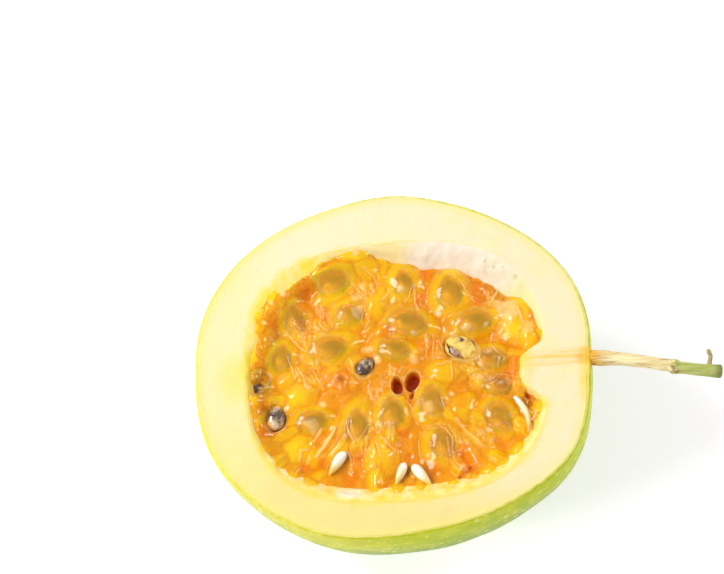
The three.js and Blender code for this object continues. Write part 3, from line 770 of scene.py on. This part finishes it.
def makeSheet(name, pitch, tuck):
    # a grid cut to the outline of the hollow
    halfX, halfY = pulpLook["halfX"], pulpLook["halfY"]
    deselectAll()
    bpy.ops.mesh.primitive_grid_add(x_subdivisions=round(2 * halfX / pitch),
                                    y_subdivisions=round(2 * halfY / pitch), size=1)
    sheet = bpy.context.object
    sheet.name = name
    points = pointsOf(sheet) * mm
    points[:, 0] = points[:, 0] * 2 * halfX + fruit["cavityShift"][0]
    points[:, 1] = points[:, 1] * 2 * halfY + fruit["cavityShift"][1]
    movePoints(sheet, points)
    outside = edgeGap(points[:, 0], points[:, 1])[0] < -tuck
    sheet.data.polygons.foreach_set("select", np.zeros(len(sheet.data.polygons), dtype=bool))
    sheet.data.edges.foreach_set("select", np.zeros(len(sheet.data.edges), dtype=bool))
    sheet.data.vertices.foreach_set("select", outside)
    bpy.ops.object.mode_set(mode="EDIT")
    bpy.ops.mesh.select_mode(type="VERT")
    bpy.ops.mesh.delete(type="VERT")
    bpy.ops.object.mode_set(mode="OBJECT")
    return sheet


def closeSheet(sheet, underside):
    # the sheet's edge drawn down and closed underneath
    editAll(sheet)
    bpy.ops.mesh.region_to_loop()
    bpy.ops.mesh.extrude_edges_move()
    for vert in bmesh.from_edit_mesh(sheet.data).verts:
        if vert.select:
            vert.co = (vert.co.x * 0.96, vert.co.y * 0.96, (faceHeight - underside) * mm)
    bpy.ops.mesh.extrude_edges_move()
    bpy.ops.mesh.merge(type="CENTER")
    bpy.ops.object.mode_set(mode="OBJECT")


def leftShare(turns):
    # where the pulp lies nearly level with the cut face
    return near(turns, 155, 62)


def pulpDepth(x, y):
    # how far the pulp lies under the cut face: nearly level with it at the left, sunk at the far right
    fromEdge, turns = edgeGap(x, y)
    edgeDepth = pulpLook["edgeDepth"] - pulpLook["leftRise"] * leftShare(turns) \
        + pulpLook["lowerDrop"] * near(turns, -90, 62) + pulpLook["shelfDrop"] * shelfShare(turns)
    return pulpLook["depth"] + (edgeDepth - pulpLook["depth"]) * smoothStep(6.5, 1.0, fromEdge)


def bedHeight(x, y, grain):
    # the top of the pulp, with a pocket under each seed and pit
    fromEdge, turns = edgeGap(x, y)
    fromLedge = fromEdge - rindLook["ledgeWidth"] * ledgeShare(turns)
    raised = leftShare(turns) * smoothStep(4.0, 0.8, fromLedge)
    level = faceHeight - pulpDepth(x, y) - 1.3 + 1.1 * raised + grain * pulpLook["waves"] * (1 - 0.7 * raised)
    for seed in sacSeeds:
        pocket = faceHeight - pulpLook["seedPocket"] + 3.4 * smoothStep(1.1, 2.0, seedGap(x, y, seed))
        level = np.minimum(level, pocket)
    for seed in bareSeeds:
        gap = seedGap(x, y, seed, bareSeedWidth, 0)
        level = np.minimum(level, faceHeight - pulpLook["barePocket"] + 3.0 * smoothStep(1.0, 1.6, gap))
    for pit in pits:
        level = level - pit[5] * (1 - smoothStep(0.8, 1.25, ovalGap(x, y, pit)))
    return level


pulp = makeSheet("pulp", pulpLook["pitch"], pulpLook["tuck"])
points = pointsOf(pulp)
x, y = points[:, 0].copy(), points[:, 1].copy()
points[:, 2] = bedHeight(x, y, noiseAt(points, 3.2, 7, 3))
movePoints(pulp, points)
paintedHalo, deep = np.zeros_like(x), np.zeros_like(x)
# a painted halo: a lighter ring round each seed's pocket, standing in for light glowing through the sac
for seed in sacSeeds:
    paintedHalo = np.maximum(paintedHalo, bell(seedGap(x, y, seed), 1.12, 0.16))
# the pits painted darker red-brown: partly their own colour, partly painted shade of the hole
for pit in pits:
    deep = np.maximum(deep, pit[6] * (1 - smoothStep(1.05, 1.3, ovalGap(x, y, pit))))
for name, values in {"paintedHalo": paintedHalo, "deep": deep, "tone": toneAt(x, y)}.items():
    storeMask(pulp, name, values)
closeSheet(pulp, pulpLook["underside"] + 1)
closeUp(pulp)
print("pulp:", len(pulp.data.polygons), "faces")

fleshTints = {
    "yellow": (238, 214, 26), "amber": (230, 197, 14), "orange": (229, 161, 3), "brown": (150, 84, 10),
    "gap": (208, 126, 4), "pit": (196, 84, 14), "paintedHalo": (244, 190, 84), "window": (233, 154, 52),
    "foldAndHighlight": (255, 236, 178), "shadow": (255, 214, 120),
}


def fleshColour(lift=0.0):
    # yellow, amber, orange and brown by the tone of the place, in soft clouds
    tone = scaled(cloudMask(3.5, 0.3, 0.7), 0.7, plus(attributeValue("tone"), lift - 0.35))
    flesh = mixColours(rampMask(tone, 0.1, 0.95), fleshTints["amber"], fleshTints["orange"])
    flesh = layer(flesh, rampMask(tone, 0.0, -0.9), fleshTints["yellow"])
    return layer(flesh, rampMask(tone, 1.35, 2.2), fleshTints["brown"])


pulpMaterial = newMaterial("pulpFlesh")
# the painted halo of light round each seed
flesh = layer(fleshColour(0.15), attributeValue("paintedHalo"), fleshTints["paintedHalo"], 0.6)
plugIn(shader, {
    "Base Color": layer(flesh, attributeValue("deep"), fleshTints["pit"]), "Roughness": 0.35,
    "Specular IOR Level": 0.25, "Coat Weight": 0.3,
    "Normal": bumpFrom(cloudMask(0.7, 0.2, 0.8, detail=4), 0.5, 0.0002)})
pulp.data.materials.append(pulpMaterial)
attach(pulp, "root")
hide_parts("pulp")

# the jelly: the juice sacs, grown together into one wet skin
jellyLook = {
    "pitch": 0.17, "tuck": 0.8, "thin": 0.2, "soft": 0.42, "swell": 1.12, "tail": 4.2, "wander": 0.32,
    "wrinkles": 0.3, "grains": 0.35, "fillers": 44, "edgeLobes": 36,
    "foldRise": 0.32, "grooveDepth": 0.2, "foldWidth": 0.62, "knobRise": 0.3, "sheetRise": 0.12,
    "pitRim": 0.3, "lobesOnLedge": slice(2, 5),
    # where the skin between the sacs is gathered in wrinkles: place, reach
    "wrinkleZones": [
        (-5.5, 16, 2.6), (-15, 9, 3), (-15.5, -0.5, 3), (-3, -14.5, 3.2), (5.5, 13, 2.2), (7.5, 3.6, 2.2),
        (16, -1.5, 3.2), (-3, -4, 2.8), (0.5, -1.2, 2.2), (-6.5, -16, 2.6), (11.5, -17, 2.6), (20, 13.5, 2.4),
        (16.5, -15, 2.2), (22, -5, 2.4), (4, -6.5, 1.6), (-10.6, -1.7, 2.2), (24, 7.5, 3.2)],
    # extra lobes: place, turn, half length, half width, top
    "lobes": [(24.6, 8.8, 75, 4.2, 2.6, 1.0), (26.4, 4.2, 85, 3.0, 1.7, 0.9),
              (-23.2, 16.2, 50, 2.6, 1.8, 0.5), (-25.6, 12.8, 70, 2.4, 1.4, 0.3),
              (-24.9, 10.2, 80, 2.2, 1.3, 0.3), (-6.0, 23.4, 5, 3.6, 1.7, 0.6)],
}
random = np.random.default_rng(7)


def edgeLobe(step):
    # a small lobe under the edge of the hollow
    turn = 2 * math.pi * (step + random.uniform(-0.3, 0.3)) / jellyLook["edgeLobes"]
    reach = float(cavityRadius(np.array([turn]), 0)[0]) - random.uniform(0.6, 2.0)
    shiftX, shiftY = fruit["cavityShift"]
    return (shiftX + reach * math.cos(turn), shiftY + reach * math.sin(turn),
            math.degrees(turn) + random.choice([0, 90]) + random.normal(0, 20), random.uniform(1.6, 3.2),
            random.uniform(1.0, 1.7), random.uniform(-0.1, 0.35), 2.2, 0.15, 0.0)


def jellyBodies():
    # every rounded body of the jelly: place, turn, half length, half width, top over the pulp's level, power
    # of its profile, taper, depth of its fibres
    bodies = []
    for sac in sacs:
        top = random.uniform(0.75, 1.05) if sac[5] else random.uniform(0.45, 0.9)
        swell = jellyLook["swell"]
        bodies.append((*sac[:3], sac[3] * swell, sac[4] * (swell + 0.02), top, 2.4, 0.12, 0.0))
    for px, py, *_ in sacs:  # a fibrous tail leads outwards from each
        reach = math.hypot(px, py + 1)
        if reach > 6 and py < 4:
            turn = math.degrees(math.atan2(py + 1, px)) + random.normal(0, 8)
            push = jellyLook["tail"] / reach
            bodies.append((px + px * push, py + (py + 1) * push, turn, random.uniform(3.5, 5.0),
                           random.uniform(1.2, 1.7), random.uniform(0.3, 0.6), 2.0, 0.15, 0.08))
    bodies += [(*lobe, 2.2, 0.1, 0.0) for lobe in jellyLook["lobes"]]
    bodies += [edgeLobe(step) for step in range(jellyLook["edgeLobes"])]
    made = 0
    while made < jellyLook["fillers"]:
        px, py = random.uniform(-29, 29), random.uniform(-27, 25)
        turn = math.degrees(math.atan2(py + 1, px)) + random.normal(0, 35)
        long, wide, top = random.uniform(2.2, 4.6), random.uniform(1.2, 2.2), random.uniform(-0.5, 0.4)
        fibres = random.choice([0.0, 0.0, 0.06])
        if edgeGap(np.array([px]), np.array([py]))[0][0] > 0.2:
            made += 1
            bodies.append((px, py, turn, long, wide, top, 2.1, 0.12, fibres))
    return bodies


def joinBodies(s):
    # the bodies melted together: their surface, and the second highest of them at each point
    first, second = np.full_like(s.x, -1e3), np.full_like(s.x, -1e3)
    for px, py, turn, long, wide, top, power, taper, fibres in jellyBodies():
        close = (np.abs(s.wx - px) < 2.4 * long) & (np.abs(s.wy - py) < 2.4 * long)
        bx, by = s.wx[close], s.wy[close]
        dome = s.level[close] + top - 0.85 * ovalGap(bx, by, (px, py, turn, long, wide), taper) ** power
        if fibres:
            across = turned(bx, by, px, py, turn)[1]
            dome = dome + fibres * np.sin(across * 9.0 / wide + 3 * px)
        a, b = first[close], second[close]
        second[close] = np.where(dome > a, a, np.maximum(b, dome))
        first[close] = smoothMax(a, dome, jellyLook["soft"])
    return first, second


def startSkin(points):
    # the skin as it lies over the bodies, at points (x, y), read at places that wander a little: (wx, wy)
    s = SimpleNamespace(x=points[:, 0], y=points[:, 1])
    s.wx = s.x + jellyLook["wander"] * noiseAt(points, 3.0, 11)
    s.wy = s.y + jellyLook["wander"] * noiseAt(points, 3.0, 12)
    s.warped = np.stack([s.wx, s.wy, 0 * s.x], 1)
    s.level = faceHeight - pulpDepth(s.x, s.y)
    bed = bedHeight(s.x, s.y, noiseAt(points, 3.2, 7, 3)) + jellyLook["thin"]
    first, second = joinBodies(s)
    # the creases between the bodies, where the colour is painted darker as shade
    s.crease = 1 - smoothStep(0.03, 0.5, first - np.maximum(second, bed))
    s.height = smoothMax(first, bed, 0.15)
    s.ripe = smoothStep(-1.0, 0.5, s.height - s.level) * (1 - 0.75 * s.crease)
    s.patchy = smoothStep(-0.35, 0.25, noiseAt(s.warped * (1, 0.6, 1), 0.9, 44, 2))
    s.tone = toneAt(s.wx, s.wy)
    return s


def wrinkleSkin(s):
    # gathered in fine wrinkles, most where it lies low between the sacs; their pale colour is partly whitish
    # membrane and partly a painted highlight along each wrinkle
    zone = np.zeros_like(s.x)
    for px, py, reach in jellyLook["wrinkleZones"]:
        zone = np.maximum(zone, blob(s.x, s.y, px, py, reach))
    wrinkle = np.clip(1 - 3.4 * np.abs(noiseAt(s.warped * (1, 0.7, 1), 1.5, 22, 2)), 0, 1) ** 2
    grain = np.clip(noiseAt(s.warped, 0.5, 29, 2) - 0.15, 0, 1)
    low = 1 - smoothStep(0.3, 0.85, s.height - s.level)
    s.height = s.height + jellyLook["wrinkles"] * wrinkle * (0.06 + zone) * (0.3 + 0.7 * low)
    s.height = s.height + jellyLook["grains"] * grain * zone * (0.15 + 0.85 * low)
    s.pale = 0.55 * wrinkle ** 1.5 * (0.05 + zone) * (0.3 + 0.7 * low)
    s.pale = s.pale + 0.9 * grain * zone * (0.1 + 0.9 * low)


def layMembrane(s):
    # thin raised sheets with uneven edges and small raised knobs, painted pale: partly whitish membrane,
    # partly painted reflections and glints
    sheetEdge = 0.15 * noiseAt(s.warped, 1.0, 41, 2)
    for strength, *corners in sheets:
        share = smoothStep(-0.15, 0.4, cornersDepth(s.wx, s.wy, corners) + sheetEdge)
        s.height = s.height + jellyLook["sheetRise"] * share
        s.pale = np.maximum(s.pale, strength * share * (0.6 + 0.4 * s.patchy))
    for px, py, reach, strength in knobs:
        gap = np.hypot(s.wx - px, s.wy - py) / reach
        s.height = s.height + jellyLook["knobRise"] * np.exp(-gap ** 2 * 1.6)
        s.pale = np.maximum(s.pale, strength * np.exp(-gap ** 4 * 2.2))


def layFolds(s):
    # each fold is a thin raised line with a groove along both sides; its ridge is painted pale, partly as
    # membrane and partly as a painted highlight, and its grooves get painted shade
    for width, strength, *line in folds:
        (left, right), (low, high) = ((min(side), max(side)) for side in zip(*line))
        close = (s.x > left - 2) & (s.x < right + 2) & (s.y > low - 2) & (s.y < high + 2)
        gap, along = lineGap(s.wx[close], s.wy[close], line)
        wide = jellyLook["foldWidth"] * width * (0.5 + 0.5 * np.sin(np.pi * np.clip(along, 0.08, 0.92)))
        rise = np.sqrt(np.clip(1 - (gap / wide) ** 2, 0, 1)) * jellyLook["foldRise"]
        groove = bell(gap, 1.9 * wide, 0.8 * wide) * np.sin(np.pi * np.clip(along, 0.02, 0.98))
        s.height[close] += rise - jellyLook["grooveDepth"] * groove
        s.crease[close] = np.maximum(s.crease[close], 0.9 * groove)
        s.pale[close] = np.maximum(s.pale[close], strength * (1 - smoothStep(0.55 * wide, 1.1 * wide, gap)))


def sinkPits(s):
    # a pale rim round each pit; the two deep ones go right through the skin
    for pit in pits:
        gap = ovalGap(s.x, s.y, pit)
        rim = bell(gap, 1.25, 0.14)
        s.height = s.height + jellyLook["pitRim"] * rim
        s.pale = np.maximum(s.pale, 0.45 * rim)
        s.height = s.height - (9 if pit[5] > 2 else pit[5]) * (1 - smoothStep(0.98, 1.14, gap))
        # the jelly in each pit is painted darker too, partly as painted shade
        s.tone = s.tone + 1.6 * pit[6] * (1 - smoothStep(0.8, 1.2, gap))


def openHollows(s):
    # hollows that bare seeds and ovules lie in
    for seed in bareSeeds:
        gap = seedGap(s.x, s.y, seed, bareSeedWidth, 0.2)
        lid = faceHeight - 3.0 + 1.5 * smoothStep(0.85, 1.1, gap) + 5 * smoothStep(1.15, 1.35, gap)
        if seed is bareSeeds[0]:  # this one is half covered
            lid = lid + 2.3 * smoothStep(0.2, 1.1, (s.x - seed[0]) + (s.y - seed[1]))
        s.height = np.where(gap < 1.4, np.minimum(s.height, lid), s.height)
        # a painted highlight along each bare seed's rim, strongest at the lower right
        lowRight = smoothStep(-0.5, 1.0, (s.x - seed[0]) - (s.y - seed[1]))
        s.pale = np.maximum(s.pale, (0.15 + 0.55 * lowRight) * bell(gap, 1.2, 0.1))
    for px, py, turn, long in ovules:
        gap = seedGap(s.x, s.y, (px, py, turn, long), 0.42, 0.3)
        root = turned(s.x, s.y, px, py, turn)[0] / long
        lid = faceHeight - 2.05 + 2.0 * smoothStep(0.65, 1.2, gap) + 1.3 * smoothStep(0.1, 0.9, root)
        s.height = np.where(gap < 1.9, np.minimum(s.height, lid), s.height)


def coverByLedge(s):
    # the pith's ledge covers the jelly along an uneven line, broken by three lobes
    fromEdge, turns = edgeGap(s.x, s.y)
    share = ledgeShare(turns)
    over = fromEdge - rindLook["ledgeWidth"] * share + 0.9 * noiseAt(s.warped, 2.4, 43, 3)
    for px, py, *_ in jellyLook["lobes"][jellyLook["lobesOnLedge"]]:
        over = over + 2.0 * blob(s.x, s.y, px, py, math.sqrt(3.5))
    share = smoothStep(0.08, 0.3, share)
    brink = faceHeight - 0.6 + 0.35 * noiseAt(s.warped, 1.6, 45, 3)
    s.height = s.height + np.clip(brink - s.height, 0, 9) * share * np.exp(-(over / 2.2) ** 4)
    s.height = np.minimum(s.height - 1.6 * smoothStep(-0.5, -1.5, over) * share, faceHeight - 0.12)
    # the jelly is painted yellower along the ledge, lightening the ledge's shade: painted light
    s.tone = s.tone - 0.7 * smoothStep(1.6, 0.0, over) * share


def veilSeeds(s):
    # the skin is clearer over the seeds, with a painted highlight line round each
    s.window = 1 - smoothStep(0.9, 1.4, seedGap(s.x, s.y, bareSeeds[0]))
    for seed in sacSeeds:
        gap = seedGap(s.x, s.y, seed)
        s.window = np.maximum(s.window, 1 - smoothStep(1.0, 1.5, gap))
        s.pale = np.maximum(s.pale, 0.26 * s.patchy * bell(gap, 1.22, 0.1))


jelly = makeSheet("juice_jelly", jellyLook["pitch"], jellyLook["tuck"])
points = pointsOf(jelly)
points[:, 2] = 0
skin = startSkin(points)
for shape in (wrinkleSkin, layMembrane, layFolds, sinkPits, openHollows, coverByLedge):
    shape(skin)
gap, _ = lineGap(skin.x, skin.y, ovuleStrand)
points[:, 2] = np.minimum(skin.height, faceHeight - 1.9 + 4 * smoothStep(0.5, 1.0, gap))
veilSeeds(skin)
movePoints(jelly, points)
for name in ("ripe", "pale", "crease", "window", "tone"):
    storeMask(jelly, name, getattr(skin, name))
closeSheet(jelly, pulpLook["underside"])
closeUp(jelly, 70)
print("jelly:", len(jelly.data.polygons), "faces")

jellyMaterial = newMaterial("juiceJelly")
# deeper orange where the skin lies low between the domes and in creases: partly the flesh's own colour,
# partly painted shade
wet = layer(fleshColour(), scaled(attributeValue("ripe"), -0.55, 0.55), fleshTints["orange"])
# painted shade: a darker orange in the creases and along the folds' grooves
wet = layer(wet, attributeValue("crease"), fleshTints["gap"], 0.5)
wet = layer(wet, attributeValue("window"), fleshTints["window"], 0.6)
# pale: whitish membrane together with painted highlights and reflections
wet = layer(wet, maths("MULTIPLY", attributeValue("pale"), 0.95, clamp=True), fleshTints["foldAndHighlight"])
fine = cloudMask(1.3, 0.2, 0.8, detail=5)
plugIn(shader, {
    "Base Color": wet, "Roughness": 0.33, "IOR": 1.16, "Transmission Weight": 0.5, "Coat Weight": 1.0,
    "Coat Roughness": 0.02, "Coat IOR": 1.36, "Normal": bumpFrom(fine, 0.3, 0.0003),
    "Coat Normal": bumpFrom(fine, 0.08, 0.0003)})
# shadows fall through the jelly
clear = addNode("ShaderNodeBsdfTransparent", {"Color": fleshTints["shadow"]}).outputs[0]
isShadow = addNode("ShaderNodeLightPath").outputs["Is Shadow Ray"]
blend = addNode("ShaderNodeMixShader", {0: isShadow, 1: shader.outputs[0], 2: clear}).outputs[0]
plugIn(tree.nodes["Material Output"], {"Surface": blend})
jelly.data.materials.append(jellyMaterial)
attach(jelly, "root")
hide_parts(*[name for name in cadNodes if name.startswith("juice_sac")])

# the seeds: some inside sacs, some bare, the last one cut open
seedLook = {
    "segments": 56, "rings": 36, "taper": 0.2, "thickness": 2.1, "pits": 0.42,
    "insideSac": {"size": 0.94, "width": 0.62, "pitDepth": 0.05, "underFace": 3.1},
    "bare": {"size": 1.0, "width": bareSeedWidth, "pitDepth": 0.16, "underFace": 2.8},
    "slit": [(10.7, 4.0), (11.5, 2.5), (12.7, 1.5), (13.8, 0.7)], "slitWidth": 0.76, "nick": (13.5, 4.5),
}


def makeSeed(name, long, thickness, width, taper, pitDepth, number):
    # an egg shape along X, finely pitted
    deselectAll()
    bpy.ops.mesh.primitive_uv_sphere_add(segments=seedLook["segments"], ring_count=seedLook["rings"],
                                         radius=mm)
    piece = bpy.context.object
    piece.name = name
    points = pointsOf(piece)[:, [2, 0, 1]]  # poles at the two ends
    along = points[:, 0].copy()
    points[:, 0] *= long
    points[:, 1] *= long * width * (1 - taper * along)
    points[:, 2] *= thickness / 2 * (1 - 0.12 * along)
    hollow = np.zeros(len(points))
    if pitDepth:
        shift = Vector((number, 0, 0))
        gap = np.array([noise.voronoi(Vector(p) / seedLook["pits"] + shift)[0][0] for p in points])
        hollow = 1 - smoothStep(0.0, 0.5, gap)
        outwards = points / np.linalg.norm(points, axis=1)[:, None]
        points -= outwards * (pitDepth * hollow)[:, None]
    movePoints(piece, points)
    storeMask(piece, "hollow", hollow)
    storeMask(piece, "along", along)
    for mask in ("husk", "slit", "veiled"):
        storeMask(piece, mask, np.zeros(len(points)))
    return piece


def layPiece(piece, x, y, z, turn):
    spin = Matrix.Rotation(math.radians(turn), 4, "Z")
    piece.data.transform(Matrix.Translation(Vector((x, y, z)) * mm) @ spin)
    piece.data.update()


def veilSeed(piece, seed):
    # a seed inside a sac: all veiled, and painted paler towards the front left as a painted sheen
    points = pointsOf(piece)
    storeMask(piece, "veiled", np.ones(len(points)))
    storeMask(piece, "along", (-0.4 * (points[:, 0] - seed[0]) - 0.9 * (points[:, 1] - seed[1])) / seed[3])


def splitSeed(piece):
    # the seed that was cut open: a cream husk with a dark slit down its near side
    points = pointsOf(piece)
    gap, along = lineGap(points[:, 0], points[:, 1], seedLook["slit"])
    upper = smoothStep(-0.3, 0.3, points[:, 2] - faceHeight + seedLook["bare"]["underFace"])
    wide = seedLook["slitWidth"] * np.sin(np.pi * np.clip(along, 0.05, 0.95))
    nick = np.hypot(points[:, 0] - seedLook["nick"][0], (points[:, 1] - seedLook["nick"][1]) * 1.6)
    slit = np.maximum(1 - smoothStep(0.55 * wide, wide, gap), 1 - smoothStep(0.4, 0.75, nick)) * upper
    lips = bell(gap - wide, 0.12, 0.14) * upper
    points[:, 2] += 0.16 * lips - 0.6 * slit + 0.22 * noiseAt(points * (1, 1, 0.4), 0.7, 51, 3)
    points[:, :2] += 0.2 * noiseAt(points, 1.3, 52, 2)[:, None]
    movePoints(piece, points)
    storeMask(piece, "slit", slit)
    storeMask(piece, "husk", np.ones(len(points)))


seedMaterial = newMaterial("seedCoat")
hollow, along = attributeValue("hollow"), attributeValue("along")
clouds = cloudMask(2.2, 0.4, 0.6)
# bare coats: mottled, the pale patches partly painted glints, with painted shade in the pits
coat = layer(mixColours(clouds, (84, 58, 38), (222, 196, 156)), hollow, (38, 28, 24), 0.85)
veiled = mixColours(clouds, (50, 34, 30), (132, 108, 94))
# painted sheen: veiled seeds lighter towards the front left
veiled = layer(veiled, rampMask(along, -0.1, 0.6), (222, 210, 196), 0.85)
coat = layer(coat, attributeValue("veiled"), veiled)
cream = mixColours(cloudMask(1.2, 0.3, 0.6, detail=5), (214, 158, 50), (248, 216, 108))
coat = layer(coat, attributeValue("husk"), cream)
woody = mixColours(cloudMask(0.6, 0.4, 0.6), (92, 50, 32), (186, 146, 120))
plugIn(shader, {
    "Base Color": layer(coat, attributeValue("slit"), woody), "Roughness": 0.3, "Coat Weight": 1.0,
    "Coat Roughness": 0.06, "Normal": bumpFrom(hollow, 0.6, 0.0001, True)})
for number, seed in enumerate(sacSeeds + bareSeeds, 1):
    inSac, split = number <= len(sacSeeds), seed is bareSeeds[-1]
    look = seedLook["insideSac" if inSac else "bare"]
    seedPiece = makeSeed(f"visual_seed_{number:02d}", seed[3] * look["size"], seedLook["thickness"],
                         look["width"], seedLook["taper"], 0 if split else look["pitDepth"], number)
    layPiece(seedPiece, *seed[:2], faceHeight - look["underFace"], seed[2])
    if inSac:
        veilSeed(seedPiece, seed)
    if split:
        splitSeed(seedPiece)
    closeUp(seedPiece)
    seedPiece.data.materials.append(seedMaterial)
    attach(seedPiece, "root")
    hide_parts(f"seed_{number:02d}")
print("seeds:", number)


def smoothLine(line, steps):
    # even steps along points with a radius, rounded off
    points = np.array(line, dtype=float)
    gaps = np.concatenate([[0], np.cumsum(np.linalg.norm(np.diff(points[:, :3], axis=0), axis=1))])
    wanted = np.linspace(0, gaps[-1], steps)
    out = np.stack([np.interp(wanted, gaps, points[:, k]) for k in range(4)], axis=1)
    kernel = np.hanning(9)[1:-1]
    kernel /= kernel.sum()
    half = len(kernel) // 2
    padded = np.concatenate([np.repeat(out[:1], half, 0), out, np.repeat(out[-1:], half, 0)])
    smooth = np.stack([np.convolve(padded[:, k], kernel, "valid") for k in range(4)], axis=1)
    smooth[0], smooth[-1] = out[0], out[-1]
    return smooth


def ringRound(spot, way, radius, turns, push=0.0):
    sideways = np.cross(way, (0, 0, 1.0))
    sideways /= np.linalg.norm(sideways)
    upwards = np.cross(sideways, way)
    around = np.outer(np.cos(turns) * radius, sideways) + np.outer(np.sin(turns) * radius, upwards)
    return spot + way * push + around


def sweepRings(line, segments, shape):
    # rings round a line; shape gives the radius share for the turns and the place along the line
    spots = line[:, :3]
    ways = np.gradient(spots, axis=0)
    ways /= np.linalg.norm(ways, axis=1)[:, None]
    turns = 2 * np.pi * np.arange(segments) / segments
    rings = [np.repeat(spots[:1], segments, 0)]
    rings += [ringRound(spots[0], ways[0], line[0, 3] * share, turns) for share in (0.35, 0.7)]
    for number, (spot, way, radius) in enumerate(zip(spots, ways, line[:, 3])):
        rings.append(ringRound(spot, way, radius * shape(turns, number / (len(spots) - 1)), turns))
    for share, push in ((0.94, 0.18), (0.78, 0.36), (0.45, 0.48)):  # the rounded tip
        rings.append(ringRound(spots[-1], ways[-1], line[-1, 3] * share * shape(turns, 1.0), turns, push))
    return rings + [np.repeat(spots[-1:] + ways[-1:] * 0.5, segments, 0)]


# the unripe ovules; the last one is drawn out into a strand
ovuleLook = {"thickness": 1.9, "width": 0.34, "taper": 0.42, "underFace": 2.45, "strandUnderFace": 2.2}
ovuleMaterial = newMaterial("unripeOvule")
cream = mixColours(cloudMask(2, 0.35, 0.7), (255, 250, 236), (254, 240, 200))
plugIn(shader, {
    "Base Color": layer(cream, rampMask(attributeValue("along"), -0.2, 0.8), (244, 196, 60), 0.85),
    "Roughness": 0.3, "Coat Weight": 0.6, "Coat Roughness": 0.08, "Subsurface Weight": 0.3,
    "Subsurface Radius": (1.0, 0.7, 0.3), "Subsurface Scale": 0.0015})


def makeStrand(name):
    spots = [(x, y, faceHeight - ovuleLook["strandUnderFace"], radius) for x, y, radius in ovuleStrand]
    rings = sweepRings(smoothLine(spots, 60), 32, lambda turns, along: np.ones_like(turns))
    piece, rows = growRings(name, 32, rings)
    along = np.zeros(len(piece.data.vertices))
    for step, row in enumerate(rows):
        along[row] = 1.4 * step / len(rows) - 0.4
    storeMask(piece, "along", along)
    return piece


for number, ovule in enumerate([*ovules, ovuleStrand], 1):
    name = f"visual_ovule_{number:02d}"
    if ovule is ovuleStrand:
        piece = makeStrand(name)
    else:
        piece = makeSeed(name, ovule[3], *(ovuleLook[k] for k in ("thickness", "width", "taper")), 0, number)
        layPiece(piece, *ovule[:2], faceHeight - ovuleLook["underFace"], ovule[2])
    closeUp(piece)
    piece.data.materials.append(ovuleMaterial)
    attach(piece, "root")
    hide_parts(f"ovule_{number:02d}")
print("ovules:", number)

# the stem: x, y, height over its own line, radius
stemLook = {
    "segments": 72, "steps": 260, "stubSegments": 28, "stubSteps": 40, "fibres": 11, "fibreDepth": 0.144,
    "roughness": 0.06, "underFace": 1.6,
}
stemLine = [
    (36.2, -1.1, 0, 1.35), (38.0, -1.4, 0, 1.45), (40.2, -1.7, 0, 1.5), (43.6, -2.2, 0.2, 1.25),
    (48.6, -3.3, 0.2, 1.15), (52.8, -4.3, 0, 1.15), (53.4, -4.5, 0, 1.4), (54.1, -4.7, 0, 1.4),
    (54.8, -4.9, 0, 1.15), (58.8, -5.6, -0.3, 1.15), (62.2, -6.1, -0.5, 1.3),
]
stubLine = [
    (60.0, -5.6, -0.4, 0.5), (60.4, -4.2, -0.2, 0.45), (60.7, -3.1, 0.2, 0.4), (60.4, -2.4, 0.7, 0.45),
]


def stemShape(turns, along):
    # the outline is fluted by its fibres, which wind slowly along it
    flutes = range(5, 5 + stemLook["fibres"])
    wave = sum(math.sin(k * 2.1 + 3) * np.cos(k * turns + 2.2 * k + 1.4 * along * (k % 3 - 1))
               for k in flutes)
    return 1 + stemLook["fibreDepth"] * wave / stemLook["fibres"]


def makeStem(name, line, segments, steps):
    spots = [(x, y, faceHeight - stemLook["underFace"] + z, radius) for x, y, z, radius in line]
    return growRings(name, segments, sweepRings(smoothLine(spots, steps), segments, stemShape))


stem, rows = makeStem("stem", stemLine, stemLook["segments"], stemLook["steps"])
points = pointsOf(stem)
along = np.zeros(len(points))
for step, row in enumerate(rows):
    along[row] = np.clip((step - 3) / (stemLook["steps"] - 1), 0, 1)
points[:, 2] += stemLook["roughness"] * noiseAt(points * (0.5, 1, 1), 0.9, 31, 3)
points[:, 1] += stemLook["roughness"] * noiseAt(points * (0.5, 1, 1), 0.9, 33, 3)
movePoints(stem, points)
storeMask(stem, "along", along)
stub, _ = makeStem("stub", stubLine, stemLook["stubSegments"], stemLook["stubSteps"])
storeMask(stub, "along", np.full(len(stub.data.vertices), 1.2))
deselectAll()
stub.select_set(True)
stem.select_set(True)
bpy.context.view_layer.objects.active = stem
bpy.ops.object.join()
stem.name = "visual_stem"
closeUp(stem, 50)
print("stem:", len(stem.data.polygons), "faces")

stemMaterial = newMaterial("stemBark")
along = attributeValue("along")
fibres = cloudMask(1.1, 0.35, 0.66, (0.16, 1, 1), 4)
tan = mixColours(fibres, (228, 196, 128), (253, 238, 182))
bark = layer(tan, rampMask(along, 0.62, 0.7), mixColours(fibres, (166, 180, 82), (216, 214, 136)))
bark = layer(bark, rampMask(along, 0.2, 0.06), (238, 176, 40))
bark = layer(bark, cloudMask(0.6, 0.58, 0.66, (0.14, 1, 1), 2), (156, 108, 62), 0.55)
nodeSpot = spotMask((53.7, -4.6, 36.6), (1, 0.3, 0.3), 0.2, 1.1)
bark = layer(bark, times(nodeSpot, cloudMask(0.9, 0.5, 0.58)), (120, 70, 34), 0.9)
bark = layer(bark, rampMask(along, 0.93, 1.0), (112, 122, 54), 0.8)
bark = layer(bark, rampMask(along, 1.05, 1.15), (184, 164, 116))
bark = layer(bark, dotMask(1.6, 0.2, 0.1, 0.2), (112, 78, 40), 0.35)
plugIn(shader, {"Base Color": bark, "Roughness": 0.6, "Normal": bumpFrom(fibres, 0.6, 0.0002)})
stem.data.materials.append(stemMaterial)
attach(stem, "root")
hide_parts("stem")
